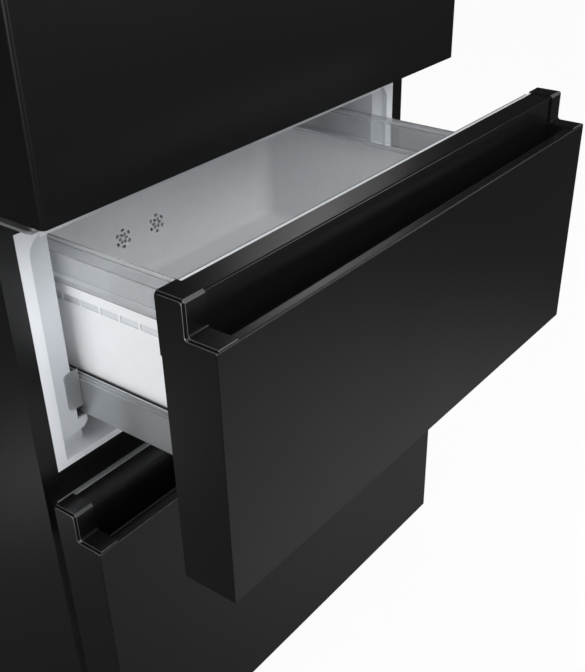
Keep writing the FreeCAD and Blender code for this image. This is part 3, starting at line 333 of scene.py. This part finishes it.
def rubber(name, base, roughness=0.62):
    """Extruded seal or foot: matt, with a bloom."""
    seal = Finish(name, base, roughness, specular=0.3)
    seal.bump(seal.noise(500.0, 2.0), 0.00003, 0.4)
    seal.varied_roughness(seal.noise(50.0, 3.0), roughness - 0.06, roughness + 0.08)
    return seal.varied_colour(seal.noise(35.0, 3.0), 0.06)


def make_finishes():
    colours = finishes()
    gloss = colours.black_gloss
    made = {
        "black_steel": painted_black("case_paint", colours.case_black, gloss),
        "handle_black": painted_black("handle_coating", colours.handle_black, 0.24),
        "cap_black": moulded("cap_moulding", colours.cap_black, 0.22, 0.000005, 1100.0, 0.5),
        "white_liner": formed_sheet("liner_sheet", colours.liner_white, 0.34),
        "white_basket": moulded("basket_moulding", colours.basket_white, 0.33, 0.00001, 900.0, 0.5),
        "clear_plastic": clear("clear_moulding", colours.clear_tint, 0.05, 1.3, 0.80),
        "shelf_glass": clear("toughened_glass", colours.glass_tint, 0.01, 1.5),
        "galvanised": zinc_coated("zinc_strip", colours.zinc, 0.34),
        "seal_grey": rubber("magnetic_seal", colours.seal_grey),
        "foam": foamed("rigid_foam", (0.72, 0.58, 0.30)),
        "grey_metal": zinc_coated("plated_bracket", (0.5, 0.51, 0.52), 0.38),
        "black_plastic": moulded("black_moulding", (0.02, 0.02, 0.021), 0.5),
        "machine_black": painted_black("machine_enamel", (0.016, 0.016, 0.016), 0.35),
        "coil_aluminium": finned("fin_pack", (0.66, 0.67, 0.68)),
        "grey_plastic": moulded("grey_moulding", (0.42, 0.43, 0.44), 0.42),
        "back_steel": zinc_coated("back_sheet", (0.34, 0.35, 0.36), 0.45),
        "foot_rubber": rubber("foot_rubber", (0.022, 0.022, 0.022)),
        "cut_edge": zinc_coated("cut_edge", (0.45, 0.45, 0.46), 0.34),
        # Painted highlight: lighter grey for the narrow edge faces and crest slopes of the handle ends.
        "painted_edge_highlight": moulded("painted_edge_highlight", colours.edge_highlight_grey, 0.30, 0.000005, 1100.0, 0.5),
        # Painted shade: the liner's sheet again, darker, for its recessed ledge.
        "painted_shade_ledge": formed_sheet("painted_shade_ledge", colours.shaded_ledge_white, 0.34),
        # Painted shade: the basket's moulding again, darker, for the recessed window faces.
        "painted_shade_window": moulded("painted_shade_window", colours.window_shade_white, 0.36, 0.00001, 900.0),
    }
    return {slot: finish.material for slot, finish in made.items()}


def material_of(slot):
    if not paint:
        paint.update(make_finishes())
    return paint[slot]


paint = {}
slot_of = {row["node"]: row["material_slot"] for row in frame["record"]["subparts"]}
body_of = {node: body for body, nodes in frame["record"]["behaviour"]["bodies"].items() for node in nodes}


# ---- making pieces -----------------------------------------------------------------------
def finish_piece(name, shape, slot, body, *nodes):
    """Turns a bmesh into a piece that rides on the body and stands for the nodes."""
    bmesh.ops.recalc_face_normals(shape, faces=shape.faces)
    for face in shape.faces:
        face.smooth = True
    for edge in shape.edges:
        edge.smooth = len(edge.link_faces) == 2 and edge.calc_face_angle(0.0) < CREASE
    mesh = bpy.data.meshes.new(name)
    shape.to_mesh(mesh)
    shape.free()
    mesh.materials.append(material_of(slot))
    piece = bpy.data.objects.new(name, mesh)
    bpy.context.scene.collection.objects.link(piece)
    weighted = piece.modifiers.new("even_shading", "WEIGHTED_NORMAL")
    weighted.keep_sharp = True
    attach(piece, body)
    if nodes:
        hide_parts(*nodes)
    return piece


def soften(shape, edges, radius, segments=2):
    """Rounds the edges, or slopes them where there is one segment."""
    bmesh.ops.bevel(shape, geom=edges, offset=radius, offset_type="OFFSET", affect="EDGES", segments=segments,
                    profile=0.5, clamp_overlap=True, material=-1)


def brick(shape, low, high, radius):
    """Box from corner to corner with rounded edges."""
    low, high = Vector(low), Vector(high)
    verts = bmesh.ops.create_cube(shape, size=1.0)["verts"]
    bmesh.ops.scale(shape, vec=high - low, verts=verts)
    bmesh.ops.translate(shape, vec=(low + high) / 2, verts=verts)
    soften(shape, list({edge for vert in verts for edge in vert.link_edges}), radius)


def framed(shape, section, centre):
    """Runs a closed section round a rectangle in the XZ plane, mitred at its corners."""
    verts = [shape.verts.new(point) for point in section]
    first = [shape.edges.new(pair) for pair in zip(verts, verts[1:] + verts[:1])]
    last = first
    for axis in (X, Z, X):
        grown = bmesh.ops.extrude_edge_only(shape, edges=last)["geom"]
        last = [part for part in grown if isinstance(part, bmesh.types.BMEdge) and part.is_boundary]
        flip = Matrix.Translation(centre) @ Matrix.Scale(-1.0, 4, axis) @ Matrix.Translation(-centre)
        bmesh.ops.transform(shape, matrix=flip,
                            verts=[part for part in grown if isinstance(part, bmesh.types.BMVert)])
    bmesh.ops.bridge_loops(shape, edges=first + last)


def seal_section(low, high):
    """Section of a magnetic seal at its lower left corner: foot, ribbed bellows and flat magnet face."""
    rib = detail().seal_rib
    depth = high.y - low.y
    across = [(share, y, rib * grooved) for share, y, grooved in SEAL_HALF]
    across += [(1.0 - share, y, -rib * grooved) for share, y, grooved in reversed(SEAL_HALF)]
    return [(low.x + SEAL_SIDES * share + inset, low.y + depth * y, low.z + SEAL_STRIP * share + inset)
            for share, y, inset in across]


def seal(node):
    low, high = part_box(node)
    shape = bmesh.new()
    framed(shape, seal_section(low, high), (low + high) / 2)
    return finish_piece(node + "_ribbed", shape, slot_of[node], body_of[node], node)


def merged(node, flat=True):
    """A copy of a CAD node's mesh, welded, and if flat with its triangles joined into flat faces."""
    shape = bmesh.new()
    shape.from_mesh(frame["nodes"][node].data)
    bmesh.ops.remove_doubles(shape, verts=shape.verts, dist=WELD)
    if flat:
        bmesh.ops.dissolve_limit(shape, angle_limit=math.radians(0.4), verts=shape.verts, edges=shape.edges,
                                 use_dissolve_boundaries=False)
    return shape


def softened(node, radius, segments=2, slot=None):
    """The node's own shape with a small round along every sharp outer edge."""
    shape = merged(node)
    sharp = [edge for edge in shape.edges if len(edge.link_faces) == 2 and edge.is_convex
             and edge.calc_face_angle(0.0) > SHARP_EDGE and edge.calc_length() > 4 * radius]
    if radius > 0 and sharp:
        soften(shape, sharp, radius, segments)
    return finish_piece(node + "_finished", shape, slot or slot_of[node], body_of[node], node)


def painted_part(piece, slot, chosen):
    """Gives the faces that the test chooses a second finish."""
    piece.data.materials.append(material_of(slot))
    for face in piece.data.polygons:
        if chosen(face):
            face.material_index = 1


def facing(part):
    """Whether this part of a face's normal makes it face that way."""
    return part > 0.9


def dress(nodes, radius, segments=2):
    for node in nodes:
        softened(node, radius, segments=segments)


# ---- operators ---------------------------------------------------------------------------
class RefrigeratorOperator:
    bl_options = {"REGISTER"}

    @classmethod
    def poll(cls, context):
        return context.scene is not None


class REFRIGERATOR_OT_case(RefrigeratorOperator, bpy.types.Operator):
    """Painted case, crossbars, back and base."""
    bl_idname = "refrigerator.case"
    bl_label = "Case"

    def execute(self, context):
        dress(("outer_case", "middle_crossbar", "lower_crossbar", "rear_panel", "base_pan", "machine_cover",
               "kick_grille"), detail().sheet_round)
        return {"FINISHED"}


class REFRIGERATOR_OT_liners(RefrigeratorOperator, bpy.types.Operator):
    """White liners and their covers."""
    bl_idname = "refrigerator.liners"
    bl_label = "Liners"

    def execute(self, context):
        dress(("fridge_liner", "upper_freezer_liner", "lower_freezer_liner", "evaporator_cover",
               "air_duct_cover", "control_panel"), detail().moulded_round)
        for node in ("upper_freezer_liner", "lower_freezer_liner"):
            opening_lip(node)
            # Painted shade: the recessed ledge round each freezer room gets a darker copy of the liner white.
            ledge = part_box(node)[0].y + LEDGE_DEPTH
            painted_part(bpy.data.objects[node + "_finished"], "painted_shade_ledge",
                         lambda face: facing(-face.normal.y) and abs(face.center.y - ledge) < 20 * WELD)
        return {"FINISHED"}


def opening_lip(node):
    """Rolled lip that hangs from the liner's flange along the top of the opening."""
    low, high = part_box(node)
    top, fall = high.z - LINER_SILL, detail().lip_fall
    shape = bmesh.new()
    brick(shape, (low.x + LIP_INSET, low.y, top - fall), (high.x - LIP_INSET, low.y + LEDGE_DEPTH, top),
          LIP_ROUND)
    finish_piece(node + "_lip", shape, slot_of[node], body_of[node])


class REFRIGERATOR_OT_fronts(RefrigeratorOperator, bpy.types.Operator):
    """Drawer fronts with their seals and inner panels."""
    bl_idname = "refrigerator.fronts"
    bl_label = "Drawer fronts"

    def execute(self, context):
        for drawer in DRAWERS:
            front_sheet(drawer + "_front_skin")
            dress((drawer + "_front_liner",), detail().moulded_round)
            seal(drawer + "_gasket")
        # Painted shade: the upward faces of the lower drawer's inner panel get the seal grey, standing for
        # the shade in the gap behind its handle.
        painted_part(bpy.data.objects["low_front_liner_finished"], "seal_grey",
                     lambda face: facing(face.normal.z))
        return {"FINISHED"}


def front_sheet(node):
    """Folded sheet whose bare cut edges show along the step and the trough."""
    low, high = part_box(node)
    piece = softened(node, detail().sheet_round)
    points = piece.data.vertices

    def cut(face):
        corners = [points[index].co for index in face.vertices]
        upper = min(corner.z for corner in corners) > high.z - STEP_HEIGHT - CUT_EDGE_REACH
        on_side = (not facing(abs(face.normal.x))
                   and all(abs(corner.x) > high.x - SHEET - WELD for corner in corners))
        on_front = face.normal.z > 0.3 and all(corner.y < low.y + SHEET + WELD for corner in corners)
        return upper and (on_side or on_front)

    painted_part(piece, "cut_edge", cut)


def cap(low, high, outer, inner):
    """Stepped end of a handle, chamfered where it meets the sheet at its outer end."""
    shape = bmesh.new()
    wall, step = low.y - SHEET + STEP_DEPTH - CAP_PROUD, high.z - STEP_HEIGHT + CAP_PROUD / 2
    outline = [(low.y, low.z), (high.y, low.z), (high.y, high.z), (wall, high.z), (wall, step), (low.y, step)]
    end = shape.faces.new([shape.verts.new((outer, y, z)) for y, z in outline])
    grown = bmesh.ops.extrude_face_region(shape, geom=[end], use_keep_orig=True)["geom"]
    bmesh.ops.translate(shape, vec=(inner - outer, 0, 0),
                        verts=[part for part in grown if isinstance(part, bmesh.types.BMVert)])
    bmesh.ops.recalc_face_normals(shape, faces=shape.faces)

    def along(chosen):
        """Edges that run from the outer end to the inner one, above the foot."""
        return [edge for edge in shape.edges if abs(edge.verts[0].co.x - edge.verts[1].co.x) > WELD
                and edge.verts[0].co.z > low.z + WELD and chosen(edge, edge.verts[0].co)]

    soften(shape, along(lambda edge, at: not edge.is_convex), CORNER_RADIUS, 6)
    rim = [edge for edge in shape.edges if edge.calc_face_angle(0.0) > SHARP_EDGE
           and all(abs(v.co.x - outer) < WELD and v.co.z > step - WELD for v in edge.verts)
           and min(v.co.y for v in edge.verts) < high.y - WELD]
    soften(shape, rim, detail().cap_chamfer, 1)
    crest = along(lambda edge, at: at.z > high.z - WELD and at.y < high.y - WELD)
    soften(shape, crest, detail().cap_crest, 1)
    lip = along(lambda edge, at: at.y < low.y + WELD and at.z > step - WELD)
    soften(shape, lip, detail().cap_lip, 1)
    slanted = [edge for edge in shape.edges if SLANTED[0] < edge.calc_face_angle(0.0) < SLANTED[1]
               and edge.is_convex]
    soften(shape, slanted, detail().cap_round, 2)
    return shape


def join(shape, part):
    """Adds the part to the shape and frees it."""
    mesh = bpy.data.meshes.new("part")
    part.to_mesh(mesh)
    part.free()
    shape.from_mesh(mesh)
    bpy.data.meshes.remove(mesh)


def handle_ends(node):
    """Both moulded ends of a handle, with painted highlights in a lighter grey along their narrow edge faces
    and crests.
    """
    low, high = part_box(node)
    shape = bmesh.new()
    for outer, inner in ((low.x, low.x + CAP_LENGTH), (high.x, high.x - CAP_LENGTH)):
        join(shape, cap(low, high, outer, inner))
    piece = finish_piece(node + "_finished", shape, slot_of[node], body_of[node], node)
    points = piece.data.vertices

    # Painted highlight: narrow edge faces and crest slopes get the lighter grey in place of a glint.
    def painted_highlight_face(face):
        corners = [points[index].co for index in face.vertices]
        shortest = min((a - b).length for a, b in zip(corners, corners[1:] + corners[:1]))
        sloped = abs(face.normal.x) < 0.3 and 0.2 < face.normal.z < 0.98 and face.normal.y < 0
        on_crest = sloped and face.center.z > high.z - 2 * detail().cap_crest
        level = max(abs(part) for part in face.normal) > 0.995
        return (shortest < detail().cap_round * 1.6 or on_crest) and not level

    painted_part(piece, "painted_edge_highlight", painted_highlight_face)


class REFRIGERATOR_OT_handles(RefrigeratorOperator, bpy.types.Operator):
    """Stepped handle profiles and their moulded ends."""
    bl_idname = "refrigerator.handles"
    bl_label = "Drawer handles"

    def execute(self, context):
        for drawer in DRAWERS:
            dress((drawer + "_handle_rail",), detail().handle_round, 3)
            handle_ends(drawer + "_end_caps")
        return {"FINISHED"}


class REFRIGERATOR_OT_runners(RefrigeratorOperator, bpy.types.Operator):
    """Telescopic runners and metal drawer sides."""
    bl_idname = "refrigerator.runners"
    bl_label = "Runners"

    def execute(self, context):
        for drawer in DRAWERS:
            dress((drawer + "_rail_fixed", drawer + "_rail_middle", drawer + "_drawer_sides"),
                  detail().metal_round)
        return {"FINISHED"}


class REFRIGERATOR_OT_baskets(RefrigeratorOperator, bpy.types.Operator):
    """Freezer baskets and the clear collar."""
    bl_idname = "refrigerator.baskets"
    bl_label = "Baskets"

    def execute(self, context):
        for node in ("mid_basket", "low_basket"):
            basket(node)
        dress(("mid_collar",), detail().moulded_round)
        for drawer in DRAWERS:
            painted_shade_strips(drawer)
        return {"FINISHED"}


def basket(node):
    """White tub, its blind windows painted a little darker as painted shade in their recesses."""
    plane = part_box(node)[1].x - WINDOW_PLANE
    piece = finish_piece(node + "_finished", merged(node, flat=False), slot_of[node], body_of[node], node)
    painted_part(piece, "painted_shade_window",
                 lambda face: facing(abs(face.normal.x)) and abs(abs(face.center.x) - plane) < 10 * WELD)


def painted_shade_strips(drawer):
    """Black ridged strip of painted shade, a dark piece standing for the shade in the slot between each metal
    side and the basket.
    """
    node = drawer + "_drawer_sides"
    low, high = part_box(node)
    width, depth = detail().slot_width, detail().slot_depth
    floor = high.z - depth
    shape = bmesh.new()
    for side, edge in ((1, low.x), (-1, high.x)):
        outer = edge + side * SIDE_RIM
        for start, end, rise in STRIP_RIDGES:
            x0, x1 = sorted((outer + side * width * start, outer + side * width * end))
            brick(shape, (x0, low.y + STRIP_END, floor), (x1, high.y - STRIP_END, floor + depth * rise),
                  STRIP_ROUND)
    finish_piece(drawer + "_painted_shade_strips", shape, "black_plastic", body_of[node])


class REFRIGERATOR_OT_door(RefrigeratorOperator, bpy.types.Operator):
    """Upper door with its liner, seal and bins."""
    bl_idname = "refrigerator.door"
    bl_label = "Door"

    def execute(self, context):
        dress(("door_skin",), detail().sheet_round)
        seal("door_gasket")
        softened("door_end_caps", detail().sheet_round, slot="black_steel")
        dress(("door_liner", "bin_lower", "bin_middle", "bin_upper"), detail().moulded_round)
        return {"FINISHED"}


class REFRIGERATOR_OT_room(RefrigeratorOperator, bpy.types.Operator):
    """Glass shelves and crispers of the refrigerator room."""
    bl_idname = "refrigerator.room"
    bl_label = "Refrigerator room"

    def execute(self, context):
        dress(("crisper_shelf", "shelf_lower", "shelf_upper", "crisper_left", "crisper_right"),
              detail().moulded_round)
        return {"FINISHED"}


class REFRIGERATOR_OT_hinges(RefrigeratorOperator, bpy.types.Operator):
    """Door hinges and the cover over the top one."""
    bl_idname = "refrigerator.hinges"
    bl_label = "Hinges"

    def execute(self, context):
        trimmed_hinge("middle_hinge")
        dress(("top_hinge",), detail().metal_round)
        dress(("top_hinge_cover",), detail().moulded_round)
        return {"FINISHED"}


def trimmed_hinge(node):
    """The middle hinge with its plate cut back, because less of it shows past the door in the photo."""
    low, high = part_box(node)
    shape = merged(node)
    parts = shape.verts[:] + shape.edges[:] + shape.faces[:]
    cut = bmesh.ops.bisect_plane(shape, geom=parts, plane_co=(0, low.y + detail().hinge_trim, 0), plane_no=-Y,
                                 clear_outer=True)["geom_cut"]
    bmesh.ops.holes_fill(shape, edges=[part for part in cut if isinstance(part, bmesh.types.BMEdge)])
    finish_piece(node + "_finished", shape, slot_of[node], body_of[node], node)


class REFRIGERATOR_OT_cooling(RefrigeratorOperator, bpy.types.Operator):
    """Compressor, coils and fans."""
    bl_idname = "refrigerator.cooling"
    bl_label = "Cooling machine"

    def execute(self, context):
        dress(("compressor", "condenser_coil", "evaporator", "condenser_fan", "evaporator_fan"),
              detail().metal_round)
        return {"FINISHED"}


class REFRIGERATOR_OT_feet(RefrigeratorOperator, bpy.types.Operator):
    """Levelling feet and rear rollers."""
    bl_idname = "refrigerator.feet"
    bl_label = "Feet and rollers"

    def execute(self, context):
        dress(("foot_left", "foot_right", "roller_left", "roller_right"), detail().metal_round)
        return {"FINISHED"}


class REFRIGERATOR_OT_foam(RefrigeratorOperator, bpy.types.Operator):
    """Gives the hidden foam bodies their finish."""
    bl_idname = "refrigerator.foam"
    bl_label = "Foam"

    def execute(self, context):
        for node in ("insulation_foam", "door_foam", "mid_front_foam", "low_front_foam"):
            for place in frame["nodes"][node].material_slots:
                place.material = material_of("foam")
        return {"FINISHED"}


class REFRIGERATOR_OT_stage(RefrigeratorOperator, bpy.types.Operator):
    """Floor, soft lamps, white surroundings and the camera."""
    bl_idname = "refrigerator.stage"
    bl_label = "Studio"

    def execute(self, context):
        scene = context.scene
        scene.view_settings.view_transform = "Standard"
        make_camera(scene)
        make_world(scene)
        make_floor(scene)
        make_lamps(scene)
        return {"FINISHED"}


def make_camera(scene):
    settings = studio()
    azimuth, elevation, roll = settings.camera_azimuth, settings.camera_elevation, settings.camera_roll
    back = Vector((math.sin(azimuth) * math.cos(elevation), -math.cos(azimuth) * math.cos(elevation),
                   math.sin(elevation)))
    across = Vector((0.0, 0.0, 1.0)).cross(back).normalized()
    up = back.cross(across)
    rolled_across = across * math.cos(roll) + up * math.sin(roll)
    rolled_up = up * math.cos(roll) - across * math.sin(roll)
    data = bpy.data.cameras.new("camera")
    data.sensor_width = SENSOR
    data.lens = settings.focal_pixels / PHOTO_LONG_SIDE * SENSOR
    data.shift_x, data.shift_y = settings.shift
    data.clip_start, data.clip_end = NEAREST, FARTHEST
    camera = bpy.data.objects.new("camera", data)
    turn = Matrix((rolled_across, rolled_up, back)).transposed().to_4x4()
    camera.matrix_world = Matrix.Translation(Vector(settings.camera_place)) @ turn
    scene.collection.objects.link(camera)
    scene.camera = camera


def seen_by_eye(nodes, links):
    """1 for camera rays and for rays that mirrors or glass send on, else 0."""
    path = nodes.new("ShaderNodeLightPath")
    seen = path.outputs["Is Camera Ray"]
    for ray in ("Is Glossy Ray", "Is Transmission Ray"):
        either = nodes.new("ShaderNodeMath")
        either.operation = "MAXIMUM"
        links.new(seen, either.inputs[0])
        links.new(path.outputs[ray], either.inputs[1])
        seen = either.outputs[0]
    return seen


def dimmed_in_mirrors(nodes, links, level):
    """1 for all rays but glossy ones, which get the level, a number or another node's output."""
    mix = nodes.new("ShaderNodeMix")
    mix.inputs["A"].default_value = 1.0
    if isinstance(level, float):
        mix.inputs["B"].default_value = level
    else:
        links.new(level, mix.inputs["B"])
    path = nodes.new("ShaderNodeLightPath")
    links.new(path.outputs["Is Glossy Ray"], mix.inputs["Factor"])
    return mix.outputs["Result"]


def mirrored_glow_patches(nodes, links, place):
    """Painted reflections: soft glowing patches of the floor, seen only as the black and metal surfaces
    mirror them.
    """
    brightest = None
    for centre, reach, level in FLOOR_PATCHES:
        away = nodes.new("ShaderNodeVectorMath")
        away.operation = "DISTANCE"
        away.inputs[1].default_value = (*centre, 0.0)
        links.new(place, away.inputs[0])
        fade = nodes.new("ShaderNodeMapRange")
        fade.interpolation_type = "SMOOTHERSTEP"
        fade.inputs["From Max"].default_value = reach
        fade.inputs["To Min"].default_value = level
        fade.inputs["To Max"].default_value = studio().wall_white
        links.new(away.outputs["Value"], fade.inputs["Value"])
        if brightest is None:
            brightest = fade.outputs["Result"]
            continue
        either = nodes.new("ShaderNodeMath")
        either.operation = "MAXIMUM"
        links.new(brightest, either.inputs[0])
        links.new(fade.outputs["Result"], either.inputs[1])
        brightest = either.outputs[0]
    return brightest


def mixed(nodes, links, share, shaded, white, output):
    """Shows the shaded surface for the share 0 and the white one for 1."""
    mix = nodes.new("ShaderNodeMixShader")
    links.new(share, mix.inputs["Fac"])
    links.new(shaded, mix.inputs[1])
    links.new(white, mix.inputs[2])
    links.new(mix.outputs[0], output.inputs["Surface"])


def make_world(scene):
    world = bpy.data.worlds.new("studio")
    scene.world = world
    world.use_nodes = True
    nodes, links = world.node_tree.nodes, world.node_tree.links
    soft = nodes["Background"]
    soft.inputs["Color"].default_value = (0.95, 0.975, 1.0, 1.0)
    soft.inputs["Strength"].default_value = studio().sky_strength
    white = nodes.new("ShaderNodeBackground")
    white.inputs["Color"].default_value = (1.0, 1.0, 1.0, 1.0)
    links.new(dimmed_in_mirrors(nodes, links, studio().wall_white), white.inputs["Strength"])
    mixed(nodes, links, seen_by_eye(nodes, links), soft.outputs[0], white.outputs[0], nodes["World Output"])


def make_floor(scene):
    shape = bmesh.new()
    bmesh.ops.create_grid(shape, x_segments=2, y_segments=2, size=FLOOR_REACH)
    mesh = bpy.data.meshes.new("studio_floor")
    shape.to_mesh(mesh)
    shape.free()
    floor = bpy.data.objects.new("studio_floor", mesh)
    scene.collection.objects.link(floor)
    pale = Finish("floor_paint", (0.82, 0.82, 0.82), 0.6, specular=0.2)
    pale.varied_colour(pale.noise(2.0, 2.0), 0.01)
    nodes, links = pale.nodes, pale.links
    white = nodes.new("ShaderNodeEmission")
    patches = mirrored_glow_patches(nodes, links, pale.place)
    links.new(dimmed_in_mirrors(nodes, links, patches), white.inputs["Strength"])
    share = nodes.new("ShaderNodeMath")
    share.operation = "MULTIPLY"
    share.inputs[1].default_value = studio().floor_white
    links.new(seen_by_eye(nodes, links), share.inputs[0])
    mixed(nodes, links, share.outputs[0], pale.shader.outputs[0], white.outputs[0], nodes["Material Output"])
    mesh.materials.append(pale.material)


def make_lamps(scene):
    """Soft lamps round the object, and a card that lights only the handles."""
    power = studio().lamp_power
    for name, place, size, watts in LAMPS:
        soft_lamp(scene, name, Vector(place), size, watts * power, AIM)
    handles = bpy.data.collections.new("lit_handles")
    for drawer in DRAWERS:
        for part in ("_handle_rail", "_end_caps"):
            handles.objects.link(bpy.data.objects[drawer + part + "_finished"])
    name, place, size, watts = HANDLE_CARD
    card = soft_lamp(scene, name, Vector(place), size, watts * power, Vector(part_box("mid_handle_rail")[0]))
    card.light_linking.receiver_collection = handles
    blockers = bpy.data.collections.new("card_blockers")
    blockers.objects.link(bpy.data.objects["studio_floor"])
    card.light_linking.blocker_collection = blockers


def soft_lamp(scene, name, place, size, watts, target):
    data = bpy.data.lights.new(name, "AREA")
    data.shape = "DISK"
    data.size = size
    data.energy = watts
    lamp = bpy.data.objects.new(name, data)
    lamp.location = place
    lamp.rotation_mode = "QUATERNION"
    lamp.rotation_quaternion = (target - place).to_track_quat("-Z", "Y")
    scene.collection.objects.link(lamp)
    return lamp


STEPS = (
    REFRIGERATOR_OT_case,
    REFRIGERATOR_OT_liners,
    REFRIGERATOR_OT_foam,
    REFRIGERATOR_OT_fronts,
    REFRIGERATOR_OT_handles,
    REFRIGERATOR_OT_runners,
    REFRIGERATOR_OT_baskets,
    REFRIGERATOR_OT_door,
    REFRIGERATOR_OT_room,
    REFRIGERATOR_OT_hinges,
    REFRIGERATOR_OT_cooling,
    REFRIGERATOR_OT_feet,
    REFRIGERATOR_OT_stage,
)


class REFRIGERATOR_PT_panel(bpy.types.Panel):
    """Lists the refrigerator's settings and steps."""
    bl_idname = "REFRIGERATOR_PT_panel"
    bl_label = "Refrigerator"
    bl_space_type = "VIEW_3D"
    bl_region_type = "UI"
    bl_category = "Refrigerator"

    def draw(self, context):
        for settings in (finishes(), detail(), studio()):
            box = self.layout.box()
            for name in settings.__annotations__:
                box.prop(settings, name)
        for step in STEPS:
            self.layout.operator(step.bl_idname)


GROUPS = {
    "refrigerator_finishes": RefrigeratorFinishes,
    "refrigerator_detail": RefrigeratorDetail,
    "refrigerator_studio": RefrigeratorStudio,
}


def register():
    for name, group in GROUPS.items():
        bpy.utils.register_class(group)
        setattr(bpy.types.Scene, name, bpy.props.PointerProperty(type=group))
    for step in STEPS:
        bpy.utils.register_class(step)
    bpy.utils.register_class(REFRIGERATOR_PT_panel)


def unregister():
    bpy.utils.unregister_class(REFRIGERATOR_PT_panel)
    for step in reversed(STEPS):
        bpy.utils.unregister_class(step)
    for name, group in GROUPS.items():
        delattr(bpy.types.Scene, name)
        bpy.utils.unregister_class(group)


def main():
    register()
    for step in STEPS:
        family, action = step.bl_idname.split(".")
        getattr(getattr(bpy.ops, family), action)()


if __name__ == "__main__":
    main()
